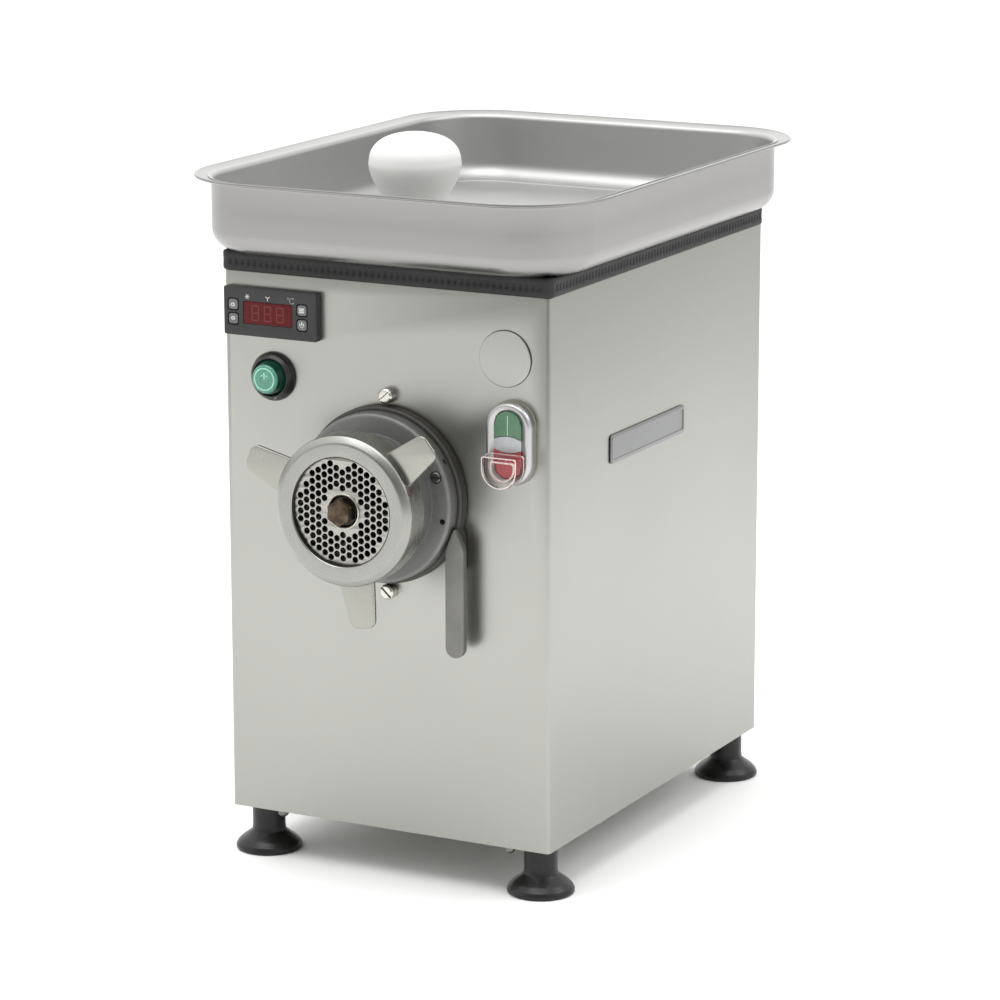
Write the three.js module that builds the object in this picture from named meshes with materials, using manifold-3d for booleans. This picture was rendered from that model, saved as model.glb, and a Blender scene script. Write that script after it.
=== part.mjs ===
// Electric meat grinder with a refrigerated head, millimetres, +Z up.
// Origin: middle of the bounding box on the floor; the front panel faces -Y.
import * as THREE from 'three';
import { mergeVertices } from 'three/addons/utils/BufferGeometryUtils.js';
import Module from 'manifold-3d';

const wasm = await Module();
wasm.setup();

// ---- Driving dimensions -------------------------------------------------------------
const FRONT = -152.6;           // y of the front panel's face
const GAP = 0.3;               // clearance between pieces that touch
const CAB_W = 248;
const CAB_D = 340;
const CAB_BASE = 34.4;         // underside of the cabinet
const CAB_TOP = 414.6;         // top edge of the sheet
const SHEET = 1.5;
const TRIM_TOP = 428.2;
const TRIM_OUT = 2;            // how far the edge trim stands proud
const FOOT_X = 107.3;
const FOOT_FRONT = 20.8;       // from the front face
const FOOT_BACK = 13.5;        // from the back face
const TRAY_W = 284.5;          // outside of the wall
const TRAY_D = 384.8;
const TRAY_R = 52;             // corner seen from above
const TRAY_EDGE = 14;          // bottom edge
const RIM_W = 307.6;
const RIM_D = 408.4;
const RIM_R = 66;
const RIM_Z = 480;
const TRAY_FLOOR = 428.5;
const TRAY_T = 1.4;
const HEAD_X = 2;              // axis of the mincing head
const HEAD_Z = 272;
const THROAT_Y = 41;           // feed throat, behind the panel
const FLANGE_R = 61;
const BELL_R = 58.2;
const BARREL_R = 44.6;
const BORE_R = 33.6;
const SEAT_R = 41.4;           // plate seat inside the barrel's mouth
const SEAT_BACK = -45.2;
const BARREL_FRONT = -56.2;
const NUT_R = 51.5;
const NUT_FRONT = -65.2;
const NUT_BACK = -42.7;
const OPENING_R = 37.2;
const WING_R = 81;
const PLATE_FRONT = -61.7;
const PLATE_BACK = -53.7;
const HOLE_PITCH = 5.3;
const HOLE_R = 2.15;
const STUB_TIP = -69;
const SEG = 28;

// Gear train: output gear 46 teeth, pinion 17 (module 2); middle gear 44, motor pinion 15 (module 1.5)
const OUT_TEETH = 46;
const MID_PINION = 17;
const MOD_SLOW = 2;
const MID_TEETH = 44;
const MOT_PINION = 15;
const MOD_FAST = 1.5;
const MOTOR_DROP = 28;         // motor axis below the head axis
const MID_X = HEAD_X + 38.49;
const MID_Z = HEAD_Z - 49.86;
const MOTOR_Z = HEAD_Z - MOTOR_DROP;

// ---- Colours ------------------------------------------------------------------------
const STEEL = new THREE.Color('#b8b8b0');
const CAST = new THREE.Color('#8c8d88');
const POLISHED = new THREE.Color('#c4c4c0');
const BLACK = new THREE.Color('#2a2a2a');
const RUBBER = new THREE.Color('#333333');
const BRONZE = new THREE.Color('#7a6450');
const WHITE = new THREE.Color('#f2f2f0');
const GREEN = new THREE.Color('#5c8864');
const TEAL = new THREE.Color('#5fa58c');
const RED = new THREE.Color('#b64a4e');
const DARKRED = new THREE.Color('#6b2222');
const COPPER = new THREE.Color('#a8623c');

const machine = new THREE.Group();

// ---- Solids and booleans ------------------------------------------------------------
function bare(geometry) {
  const g = geometry.index ? geometry.toNonIndexed() : geometry.clone();
  g.deleteAttribute('normal');
  g.deleteAttribute('uv');
  return mergeVertices(g, 1e-3);
}

function solid(geometry) {
  const g = bare(geometry);
  const p = g.attributes.position.array;
  const ix = g.index.array;
  const tri = [];
  let volume = 0;
  for (let i = 0; i < ix.length; i += 3) {
    const [a, b, c] = [ix[i], ix[i + 1], ix[i + 2]];
    if (a === b || b === c || a === c) continue;
    tri.push(a, b, c);
    const A = new THREE.Vector3().fromArray(p, 3 * a);
    const B = new THREE.Vector3().fromArray(p, 3 * b);
    const C = new THREE.Vector3().fromArray(p, 3 * c);
    volume += A.dot(B.cross(C));
  }
  if (volume < 0) {
    for (let i = 0; i < tri.length; i += 3) [tri[i], tri[i + 1]] = [tri[i + 1], tri[i]];
  }
  return new wasm.Manifold(new wasm.Mesh({
    numProp: 3,
    vertProperties: Float32Array.from(p),
    triVerts: Uint32Array.from(tri),
  }));
}

function shape(manifold) {
  const mesh = manifold.getMesh();
  const g = new THREE.BufferGeometry();
  g.setAttribute('position', new THREE.BufferAttribute(Float32Array.from(mesh.vertProperties), 3));
  g.setIndex(Array.from(mesh.triVerts));
  return g;
}

function join(...geometries) {
  return shape(geometries.map(solid).reduce((a, b) => a.add(b)));
}

function cut(base, ...tools) {
  return shape(tools.map(solid).reduce((a, b) => a.subtract(b), solid(base)));
}

// ---- Placing helpers ----------------------------------------------------------------
function box(x0, x1, y0, y1, z0, z1) {
  const g = new THREE.BoxGeometry(x1 - x0, y1 - y0, z1 - z0);
  return g.translate((x0 + x1) / 2, (y0 + y1) / 2, (z0 + z1) / 2);
}

// Cylinder lying along Y between y0 and y1.
function rod(r, y0, y1, x = 0, z = 0, seg = SEG) {
  return new THREE.CylinderGeometry(r, r, y1 - y0, seg).translate(x, (y0 + y1) / 2, z);
}

// Upright cylinder between z0 and z1.
function post(r, z0, z1, x = 0, y = 0, seg = SEG) {
  return new THREE.CylinderGeometry(r, r, z1 - z0, seg).rotateX(Math.PI / 2).translate(x, y, (z0 + z1) / 2);
}

// Turned piece along Y: profile of [radius, y] pairs that starts and ends on the axis.
function turned(profile, seg = SEG) {
  return new THREE.LatheGeometry(profile.map(([r, y]) => new THREE.Vector2(r, y)), seg);
}

// Turned ring along Y: profile of [radius, y] pairs, closed here.
function ring(profile, seg = SEG) {
  return turned([...profile, profile[0]], seg);
}

function upright(geometry) {
  return geometry.rotateX(Math.PI / 2);
}

function roundRect(w, h, r, cx = 0, cy = 0) {
  const s = new THREE.Shape();
  const x = w / 2 - r;
  const y = h / 2 - r;
  s.absarc(cx + x, cy + y, r, 0, Math.PI / 2);
  s.absarc(cx - x, cy + y, r, Math.PI / 2, Math.PI);
  s.absarc(cx - x, cy - y, r, Math.PI, 1.5 * Math.PI);
  s.absarc(cx + x, cy - y, r, 1.5 * Math.PI, 2 * Math.PI);
  s.closePath();
  return s;
}

function polygon(points) {
  return new THREE.Shape(points.map(([x, y]) => new THREE.Vector2(x, y)));
}

// Plate drawn in X-Z, between y0 (front) and y1 (back).
function plateXZ(outline, y0, y1, curveSegments = 8) {
  const g = new THREE.ExtrudeGeometry(outline, { depth: y1 - y0, bevelEnabled: false, curveSegments });
  return g.rotateX(Math.PI / 2).translate(0, y1, 0);
}

// Plate drawn in X-Y, between z0 and z1.
function plateXY(outline, z0, z1, curveSegments = 8) {
  const g = new THREE.ExtrudeGeometry(outline, { depth: z1 - z0, bevelEnabled: false, curveSegments });
  return g.translate(0, 0, z0);
}

function hexagon(acrossFlats, turn = 0) {
  const pts = [];
  for (let i = 0; i < 6; i += 1) {
    const a = turn + Math.PI / 6 + (i * Math.PI) / 3;
    const r = acrossFlats / Math.sqrt(3);
    pts.push([r * Math.cos(a), r * Math.sin(a)]);
  }
  return polygon(pts);
}

// Spur gear outline with straight-flanked teeth; phase turns it by a fraction of a tooth.
function gearOutline(teeth, module, phase) {
  const pts = [];
  const pitch = (module * teeth) / 2;
  const tip = pitch + 0.9 * module;
  const root = pitch - 1.15 * module;
  const step = (2 * Math.PI) / teeth;
  for (let i = 0; i < teeth; i += 1) {
    const a = (i + phase) * step;
    for (const [r, f] of [[root, -0.33], [tip, -0.12], [tip, 0.12], [root, 0.33]]) {
      pts.push([r * Math.cos(a + f * step), r * Math.sin(a + f * step)]);
    }
  }
  return polygon(pts);
}

// The whole model is drawn with the front panel at y = 0 and moved back here.
function add(name, geometry, colour, roughness, metalness, opacity = 1) {
  const g = bare(geometry);
  g.translate(0, FRONT, 0);
  const material = new THREE.MeshStandardMaterial({ color: colour, roughness, metalness });
  material.opacity = opacity;
  material.transparent = opacity < 1;
  const mesh = new THREE.Mesh(g, material);
  mesh.name = name;
  machine.add(mesh);
}

// ---- Control positions on the front panel (x, z) -------------------------------------
const THERMO = { x: -84.8, z: 388.2, w: 72.4, h: 33.4 };
const POWER = { x: -85.6, z: 344.2, r: 16.9 };
const DISC = { x: 91.4, z: 372, r: 19 };
const SWITCH = { x: 97.2, z: 316.1, w: 33.8, h: 57.2 };
const SCREW_X = HEAD_X + 1.5;
const SCREW_R = 67.6;

// ---- Cabinet --------------------------------------------------------------------------
// One sheet bent round both front corners.
const half = CAB_W / 2;
const wrapLine = new THREE.Shape();
wrapLine.moveTo(-half, CAB_D);
wrapLine.lineTo(-half, 4);
wrapLine.absarc(-half + 4, 4, 4, Math.PI, 1.5 * Math.PI);
wrapLine.absarc(half - 4, 4, 4, 1.5 * Math.PI, 2 * Math.PI);
wrapLine.lineTo(half, CAB_D);
wrapLine.lineTo(half - SHEET, CAB_D);
wrapLine.absarc(half - 4, 4, 4 - SHEET, 2 * Math.PI, 1.5 * Math.PI, true);
wrapLine.absarc(-half + 4, 4, 4 - SHEET, 1.5 * Math.PI, Math.PI, true);
wrapLine.lineTo(-half + SHEET, CAB_D);
wrapLine.closePath();
add('cabinet_wrap', cut(
  plateXY(wrapLine, CAB_BASE, CAB_TOP, 4),
  rod(52.9, -5, 8, HEAD_X, HEAD_Z, 32),
  rod(3.4, -5, 8, SCREW_X, HEAD_Z + SCREW_R, 12),
  rod(3.4, -5, 8, SCREW_X, HEAD_Z - SCREW_R, 12),
  box(THERMO.x - 34.3, THERMO.x + 34.3, -5, 8, THERMO.z - 14.3, THERMO.z + 14.3),
  rod(13.3, -5, 8, POWER.x, POWER.z, 16),
  rod(15, -5, 8, DISC.x, DISC.z, 16),
  rod(11.3, -5, 8, SWITCH.x, SWITCH.z, 16),
), STEEL, 0.35, 0.9);

const louvres = [];
for (const x of [-52, 52]) {
  for (const z of [62, 78, 94, 110, 126, 142, 158, 216, 232, 248, 264]) {
    louvres.push(box(x - 40, x + 40, CAB_D - 10, CAB_D + 10, z - 2, z + 2));
  }
}
add('rear_panel', cut(
  box(-half + 1.8, half - 1.8, CAB_D - 2, CAB_D - 0.5, CAB_BASE + GAP, CAB_TOP - GAP),
  rod(8, CAB_D - 10, CAB_D + 10, 92, 190, 12),
  ...louvres,
), STEEL, 0.4, 0.9);

// Outline of the sheets that fit inside the wrap, less a margin.
const inside = (less) =>
  roundRect(CAB_W - 3.6 - 2 * less, CAB_D - 4.1 - 2 * less, 3 - less, 0, CAB_D / 2 - 0.25);
add('base_pan', cut(
  plateXY(inside(0), CAB_BASE, CAB_BASE + 16, 2),
  plateXY(inside(SHEET), CAB_BASE + SHEET, CAB_BASE + 20, 2),
), STEEL, 0.45, 0.9);
const PAN_TOP = CAB_BASE + SHEET + GAP;

add('top_deck', cut(
  plateXY(inside(0), CAB_TOP - 1.9, CAB_TOP - 0.4, 2),
  post(31.3, CAB_TOP - 5, CAB_TOP + 5, HEAD_X, THROAT_Y),
), STEEL, 0.4, 0.9);

const trimOuter = roundRect(CAB_W + 2 * TRIM_OUT, CAB_D + 2 * TRIM_OUT, 6, 0, CAB_D / 2);
const trimInner = new THREE.Path();
trimInner.setFromPoints(roundRect(CAB_W - 16, CAB_D - 16, 4, 0, CAB_D / 2).getPoints(3).reverse());
trimOuter.holes.push(trimInner);
add('edge_trim', plateXY(trimOuter, CAB_TOP + GAP, TRIM_TOP, 3), RUBBER, 0.85, 0);

const footProfile = [[0, 0], [23, 0], [23.4, 1.2], [22.4, 5], [19.8, 8.4], [15.4, 12.9], [11.5, 15]];
footProfile.push([11.5, CAB_BASE - GAP], [0, CAB_BASE - GAP]);
for (const [name, x, y] of [['foot_front_left', -FOOT_X, FOOT_FRONT],
  ['foot_front_right', FOOT_X, FOOT_FRONT], ['foot_back_left', -FOOT_X, CAB_D - FOOT_BACK],
  ['foot_back_right', FOOT_X, CAB_D - FOOT_BACK]]) {
  add(name, upright(turned(footProfile, 16)).translate(x, y, 0), RUBBER, 0.8, 0);
}

const badge = roundRect(118, 20, 3, 0, 0);
add('side_badge', new THREE.ExtrudeGeometry(badge, { depth: 1.2, bevelEnabled: false, curveSegments: 3 })
  .rotateX(Math.PI / 2).rotateZ(Math.PI / 2).translate(half + GAP, 149, 296), CAST, 0.5, 0.6);

add('cable_gland', ring([[4, CAB_D - 9], [10, CAB_D - 9], [10, CAB_D - 2.3], [7.7, CAB_D - 2.3],
  [7.7, CAB_D - 0.2], [11, CAB_D - 0.2], [11, CAB_D + 6], [8.5, CAB_D + 8], [7, CAB_D + 14],
  [4, CAB_D + 14]], 12).translate(92, 0, 190), BLACK, 0.6, 0);

// ---- Feed neck, head socket, evaporator ------------------------------------------------
add('feed_neck', cut(
  post(31, HEAD_Z + 20, TRIM_TOP - 0.6, HEAD_X, THROAT_Y),
  post(28.9, HEAD_Z, TRIM_TOP + 5, HEAD_X, THROAT_Y),
  rod(45.2, -20, 110, HEAD_X, HEAD_Z, 32),
), STEEL, 0.35, 0.9);

add('head_socket', cut(
  ring([[45.2, -9.1], [52.4, -9.1], [52.4, 88], [17, 88], [17, 84.6], [45.2, 84.6]], 32)
    .translate(HEAD_X, 0, HEAD_Z),
  post(31.3, HEAD_Z + 10, HEAD_Z + 80, HEAD_X, THROAT_Y),
), CAST, 0.5, 0.8);

// Refrigerant tube bent back and forth under the socket.
function tube(curve, radius, steps, sides) {
  const pts = [];
  for (let i = 0; i < sides; i += 1) {
    const a = (2 * Math.PI * i) / sides;
    pts.push([radius * Math.cos(a), radius * Math.sin(a)]);
  }
  return new THREE.ExtrudeGeometry(polygon(pts), { steps, extrudePath: curve, bevelEnabled: false });
}
const COIL_R = 57.5;
const coilPath = [];
for (let row = 0; row < 5; row += 1) {
  for (let i = 0; i <= 10; i += 1) {
    const dir = row % 2 === 0 ? 1 : -1;
    const angle = -Math.PI / 2 + dir * (i / 10 - 0.5) * 2.8;
    coilPath.push(new THREE.Vector3(COIL_R * Math.cos(angle), 12 + 16 * row, COIL_R * Math.sin(angle)));
  }
}
add('evaporator_coil', tube(new THREE.CatmullRomCurve3(coilPath, false, 'centripetal'), 3.4, 64, 5)
  .translate(HEAD_X, 0, HEAD_Z), COPPER, 0.4, 0.9);

// ---- Mincing head ----------------------------------------------------------------------
const toHead = (g) => g.translate(HEAD_X, 0, HEAD_Z);

for (const [name, side] of [['flange_screw_top', 1], ['flange_screw_bottom', -1]]) {
  add(name, cut(
    turned([[0, -8], [3.5, -8], [5, -7.2], [5.5, -6], [5.5, -GAP], [3, -GAP], [3, 8], [0, 8]], 14)
      .translate(SCREW_X, 0, HEAD_Z + side * SCREW_R),
    box(-8, 8, -9, -6.4, -0.8, 0.8).rotateY(-0.7 * side)
      .translate(SCREW_X, 0, HEAD_Z + side * SCREW_R),
  ), POLISHED, 0.25, 1);
}

const lug = polygon([[50, -18], [58, -15], [60.6, -24], [60.6, -46], [53, -46], [48, -40]]);
add('lock_ring', toHead(cut(
  join(
    ring([[52.8, -9.2], [FLANGE_R - 1.2, -9.2], [FLANGE_R, -8], [FLANGE_R, -0.8], [52.8, -0.8]], 32),
    plateXZ(lug, -9.2, -0.8),
  ),
  rod(52.8, -12, 2, 0, 0, 32),
)), CAST, 0.55, 0.8);

const leverEnd = [];
for (let i = 0; i <= 8; i += 1) {
  const a = Math.PI + (i * Math.PI) / 8;
  leverEnd.push([58.25 + 6.95 * Math.cos(a), -98 + 6.95 * Math.sin(a)]);
}
add('lock_lever', toHead(plateXZ(
  polygon([[56.4, -16.6], [58.6, -16.6], [65.2, -29.2], ...leverEnd.slice().reverse(), [51.3, -32.2]]),
  -15.2,
  -9.5,
)), CAST, 0.55, 0.8);

add('head_barrel', toHead(cut(
  ring([
    [SEAT_R, BARREL_FRONT], [BARREL_R, BARREL_FRONT], [BARREL_R, -20.2], [56.6, -20.2], [BELL_R, -18.8],
    [BELL_R, -9.5], [BARREL_R, -9.5], [BARREL_R, 84], [12, 84], [12, 78], [BORE_R, 78],
    [BORE_R, SEAT_BACK], [SEAT_R, SEAT_BACK],
  ], 32),
  post(28, 10, 80, 0, THROAT_Y),
)), CAST, 0.5, 0.8);

// Feed worm: a lobed section twisted along its length, with a hexagonal driving shank.
const WORM_FRONT = -46;
const WORM_BACK = 76;
const TURNS = 3.2;
const lobe = [];
for (let i = 0; i < 20; i += 1) {
  const a = (2 * Math.PI * i) / 20;
  const d = Math.abs(a - Math.PI) / Math.PI;
  const rise = Math.min(Math.max((0.24 - d) / 0.1, 0), 1);
  const r = 18 + 14.6 * rise * rise * (3 - 2 * rise);
  lobe.push([r * Math.cos(a), r * Math.sin(a)]);
}
const worm = new THREE.ExtrudeGeometry(polygon(lobe), {
  depth: WORM_BACK - WORM_FRONT, steps: 30, bevelEnabled: false,
});
const wp = worm.attributes.position;
for (let i = 0; i < wp.count; i += 1) {
  const a = (wp.getZ(i) / (WORM_BACK - WORM_FRONT)) * TURNS * 2 * Math.PI;
  const [x, y] = [wp.getX(i), wp.getY(i)];
  wp.setXY(i, x * Math.cos(a) - y * Math.sin(a), x * Math.sin(a) + y * Math.cos(a));
}
worm.rotateX(Math.PI / 2).translate(0, WORM_BACK, 0);
add('feed_worm', toHead(join(
  worm,
  rod(11.4, WORM_BACK - 1, 86, 0, 0, 16),
  plateXZ(hexagon(17), 85, 104),
)), CAST, 0.45, 0.9);

add('worm_stub', toHead(join(
  plateXZ(hexagon(15.8), STUB_TIP + 1, WORM_FRONT - GAP),
  turned([[0, STUB_TIP], [7, STUB_TIP], [7.7, STUB_TIP + 1.2], [0, STUB_TIP + 1.2]], 12),
  rod(10.3, PLATE_FRONT + 1.5, PLATE_BACK, 0, 0, 18),
)), BRONZE, 0.35, 0.9);

add('knife', toHead(cut(
  join(
    rod(14, -53.4, -46.6, 0, 0, 18),
    box(-38, 38, -53.4, -47.6, -6, 6),
    box(-6, 6, -53.4, -47.6, -38, 38),
  ),
  plateXZ(hexagon(16.6), -60, -40),
)), POLISHED, 0.25, 1);

// Cutting plate: holes on a triangular grid between the hub and the rim.
const disc = new THREE.Shape();
disc.absarc(0, 0, 41, 0, 2 * Math.PI);
const hub = new THREE.Path();
hub.absarc(0, 0, 10.6, 0, 2 * Math.PI, true);
disc.holes.push(hub);
for (let i = -7; i <= 7; i += 1) {
  for (let j = -7; j <= 7; j += 1) {
    const x = i * HOLE_PITCH * Math.sqrt(0.75);
    const z = (j + (Math.abs(i) % 2) / 2) * HOLE_PITCH;
    const r = Math.hypot(x, z);
    if (r < 15.2 || r > 34.4) continue;
    const pts = [];
    for (let k = 5; k >= 0; k -= 1) {
      const a = (k * Math.PI) / 3;
      pts.push(new THREE.Vector2(x + HOLE_R * Math.cos(a), z + HOLE_R * Math.sin(a)));
    }
    disc.holes.push(new THREE.Path(pts));
  }
}
add('cutting_plate', toHead(plateXZ(disc, PLATE_FRONT, PLATE_BACK, 16)), POLISHED, 0.3, 1);

const wing = (angle) => {
  const outline = new THREE.Shape();
  outline.moveTo(47, -13.6);
  outline.lineTo(WING_R - 7, -10.4);
  outline.absarc(WING_R - 6, -4, 6, -Math.PI / 2, 0);
  outline.absarc(WING_R - 6, 4, 6, 0, Math.PI / 2);
  outline.lineTo(WING_R - 7, 10.4);
  outline.lineTo(47, 13.6);
  outline.closePath();
  return plateXZ(outline, -57, -53.8, 5).rotateY((-angle * Math.PI) / 180);
};
add('ring_nut', toHead(join(
  ring([
    [OPENING_R, NUT_FRONT + 0.6], [OPENING_R + 0.6, NUT_FRONT], [NUT_R - 4, NUT_FRONT],
    [NUT_R - 1.3, NUT_FRONT + 1.2], [NUT_R, NUT_FRONT + 4], [NUT_R, NUT_BACK + 1],
    [NUT_R - 1, NUT_BACK], [45.2, NUT_BACK], [45.2, PLATE_FRONT - GAP], [OPENING_R, PLATE_FRONT - GAP],
  ], 32),
  wing(38.5),
  wing(158.5),
  wing(278.5),
)), POLISHED, 0.25, 1);

// ---- Gear train and motor ----------------------------------------------------------------
add('output_shaft', toHead(cut(
  join(
    turned([[0, 90], [14.5, 90], [15, 90.6], [15, 119], [12, 119], [12, 140], [0, 140]], 20),
  ),
  plateXZ(hexagon(17.8), 85, 108),
)), CAST, 0.35, 1);

// At rest a tooth of each driven gear points at a gap of its pinion.
const slowAngle = Math.atan2(MID_Z - HEAD_Z, MID_X - HEAD_X);
const fastAngle = Math.atan2(MOTOR_Z - MID_Z, HEAD_X - MID_X);
const phaseTo = (teeth, angle, toGap) => (angle * teeth) / (2 * Math.PI) + (toGap ? 0.5 : 0);
const gear = (teeth, module, angle, toGap, y0, y1) =>
  plateXZ(gearOutline(teeth, module, phaseTo(teeth, angle, toGap)), y0, y1);

add('output_gear', toHead(cut(
  gear(OUT_TEETH, MOD_SLOW, slowAngle, false, 121, 137),
  rod(12.3, 100, 150, 0, 0, 20),
)), CAST, 0.4, 1);

const toMid = (g) => g.translate(MID_X, 0, MID_Z);
add('middle_shaft', toMid(join(
  rod(9, 113.5, 163, 0, 0, 16),
  gear(MID_PINION, MOD_SLOW, slowAngle + Math.PI, true, 120.5, 137.5),
)), CAST, 0.4, 1);
add('middle_gear', toMid(cut(
  gear(MID_TEETH, MOD_FAST, fastAngle, false, 143, 155),
  rod(9.3, 100, 170, 0, 0, 16),
)), CAST, 0.4, 1);

const caseLine = (grow) => roundRect(142 + 2 * grow, 150 + 2 * grow, 20 + grow, 16, 254);
add('gearbox_case', cut(
  join(plateXZ(caseLine(0), 112, 158, 4), rod(33, 98, 113, HEAD_X, HEAD_Z, 20)),
  plateXZ(caseLine(-6), 118, 170, 4),
  rod(26.2, 90, 125, HEAD_X, HEAD_Z, 20),
  rod(9.4, 110, 125, MID_X, MID_Z, 16),
), CAST, 0.6, 0.6);
add('gearbox_cover', cut(
  plateXZ(caseLine(0), 158.3, 164, 4),
  rod(8.5, 150, 170, HEAD_X, MOTOR_Z, 16),
  rod(9.4, 150, 170, MID_X, MID_Z, 16),
), CAST, 0.6, 0.6);

add('shaft_seal', toHead(ring([[15.4, 99], [25.9, 99], [25.9, 105.6], [15.4, 105.6]], 20)), BLACK, 0.7, 0);
add('output_bearing', toHead(ring([[15.4, 106], [25.9, 106], [25.9, 117.6], [15.4, 117.6]], 20)),
  POLISHED, 0.3, 1);

const toMotor = (g) => g.translate(HEAD_X, 0, MOTOR_Z);
add('motor_shell', toMotor(ring([[10, 164.3], [61, 164.3], [61, 312], [55, 312], [55, 170], [10, 170]], 24)),
  CAST, 0.6, 0.6);
add('motor_stator', toMotor(ring([[33.6, 185], [54.6, 185], [54.6, 265], [33.6, 265]], 24)), COPPER, 0.6, 0.5);
add('motor_rotor', toMotor(join(
  rod(32.6, 187, 263, 0, 0, 24),
  rod(8, 154, 306, 0, 0, 16),
  gear(MOT_PINION, MOD_FAST, fastAngle + Math.PI, true, 142.5, 155.5),
)), CAST, 0.45, 0.9);
const blades = [];
for (let i = 0; i < 6; i += 1) {
  blades.push(box(14, 49, 291, 303, -1, 1).rotateY((i * Math.PI) / 3));
}
add('motor_fan', toMotor(cut(
  join(rod(17, 290, 304, 0, 0, 16), ...blades),
  rod(8.4, 280, 310, 0, 0, 16),
)), BLACK, 0.6, 0);
add('motor_stand', cut(
  join(
    box(HEAD_X - 42, HEAD_X + 42, 214, 220, PAN_TOP, MOTOR_Z - 40),
    box(HEAD_X - 42, HEAD_X + 42, 214, 244, PAN_TOP, PAN_TOP + 5),
  ),
  rod(61.5, 200, 250, HEAD_X, MOTOR_Z, 24),
), CAST, 0.6, 0.6);

// ---- Refrigeration -------------------------------------------------------------------------
const potX = -58;
const potY = 78;
const legs = [0, 1, 2].map((i) => post(6, PAN_TOP, 55, potX + 44 * Math.cos(i * 2.094 + 0.5),
  potY + 44 * Math.sin(i * 2.094 + 0.5), 8));
add('compressor', join(
  upright(turned([[0, 50], [53, 50], [53, 54], [48, 58], [48, 128], [42, 148], [26, 158], [0, 161]], 20))
    .translate(potX, potY, 0),
  ...legs,
), BLACK, 0.5, 0.4);
add('capacitor', post(19, PAN_TOP, 118, 78, 62, 16), WHITE, 0.5, 0);

const comb = [[-96, PAN_TOP], [96, PAN_TOP], [96, 166]];
const fins = 24;
for (let i = 0; i < fins; i += 1) {
  const x = 96 - i * (192 / (fins - 0.5));
  comb.push([x - 2, 166], [x - 2, 46], [x - 8, 46], [x - 8, 166]);
}
add('condenser', plateXZ(polygon(comb.slice(0, -2).concat([[-96, 46]])), 296, 328), CAST, 0.5, 0.8);
const toFan = (g) => g.translate(0, 0, 106);
const vanes = [];
for (let i = 0; i < 5; i += 1) {
  vanes.push(box(12, 46, 272, 274.5, -9, 9).rotateX(0).rotateY((i * 2 * Math.PI) / 5));
}
add('condenser_fan', toFan(cut(
  join(rod(15, 268, 282, 0, 0, 16), ...vanes),
  rod(3.4, 255, 276, 0, 0, 12),
)), BLACK, 0.6, 0);
add('fan_motor', join(
  toFan(rod(17, 246, 266.5, 0, 0, 16)),
  toFan(rod(3, 266, 275, 0, 0, 12)),
  box(-6, 6, 250, 262, PAN_TOP, 95),
), CAST, 0.6, 0.5);

// ---- Controls ---------------------------------------------------------------------------
const keys = [
  ['key_up', -28.8, 4.4], ['key_down', -28.8, -5.5], ['key_set', 25, 4.2], ['key_standby', 25, -5.9],
];
const KEY = 7.4;
add('thermostat_case', cut(
  join(
    plateXZ(roundRect(THERMO.w, THERMO.h, 2.5, THERMO.x, THERMO.z), -6.1, -GAP, 2),
    box(THERMO.x - 34, THERMO.x + 34, -1, 52, THERMO.z - 14, THERMO.z + 14),
  ),
  box(THERMO.x - 21, THERMO.x + 17.6, -8, -4.9, THERMO.z - 8.4, THERMO.z + 7.3),
  ...keys.map(([, x, z]) =>
    plateXZ(roundRect(KEY + 0.8, KEY + 0.8, 1.6, THERMO.x + x, THERMO.z + z), -8, -2.6, 1)),
), BLACK, 0.55, 0);
add('thermostat_window', box(THERMO.x - 20.7, THERMO.x + 17.3, -5.9, -5.2, THERMO.z - 8.1, THERMO.z + 7),
  DARKRED, 0.2, 0);
for (const [name, x, z] of keys) {
  add(name, plateXZ(roundRect(KEY, KEY, 1.4, THERMO.x + x, THERMO.z + z), -6.4, -4, 2), CAST, 0.6, 0);
}

add('power_bezel', ring([
  [12.7, -6.6], [13.6, -6.6], [15.6, -4.4], [POWER.r, -2], [POWER.r, -GAP], [13, -GAP], [13, 28],
  [10.3, 28], [10.3, 4], [12.7, -0.5],
], 24).translate(POWER.x, 0, POWER.z), BLACK, 0.4, 0);
add('power_button', turned([[0, -13.6], [6, -13.4], [9, -12.8], [9.9, -11.6], [12.2, -5], [12.2, -4.4], [9.9, -3.6],
  [9.9, 8], [0, 8]], 20)
  .translate(POWER.x, 0, POWER.z), TEAL, 0.3, 0);

add('blanking_disc', turned([[0, -1.5], [DISC.r - 0.4, -1.5], [DISC.r, -1.1], [DISC.r, -GAP],
  [14.7, -GAP], [14.7, 5], [0, 5]], 24).translate(DISC.x, 0, DISC.z), STEEL, 0.35, 0.9);

const oblong = (w, h, r, z = 0) => roundRect(w, h, r, SWITCH.x, SWITCH.z + z);
add('switch_bezel', cut(
  join(
    plateXZ(oblong(SWITCH.w, SWITCH.h, 16.8), -6.5, -GAP, 4),
    plateXZ(oblong(SWITCH.w - 4, SWITCH.h - 4, 14.8), -9.4, -6, 4),
    rod(11, -1, 42, SWITCH.x, SWITCH.z, 16),
  ),
  plateXZ(oblong(20.6, 45.6, 10.2), -12, -1.4, 4),
  rod(2.3, -5, 30, SWITCH.x, SWITCH.z + 7, 10),
  rod(2.3, -5, 30, SWITCH.x, SWITCH.z - 7, 10),
), POLISHED, 0.3, 0.9);

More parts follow.
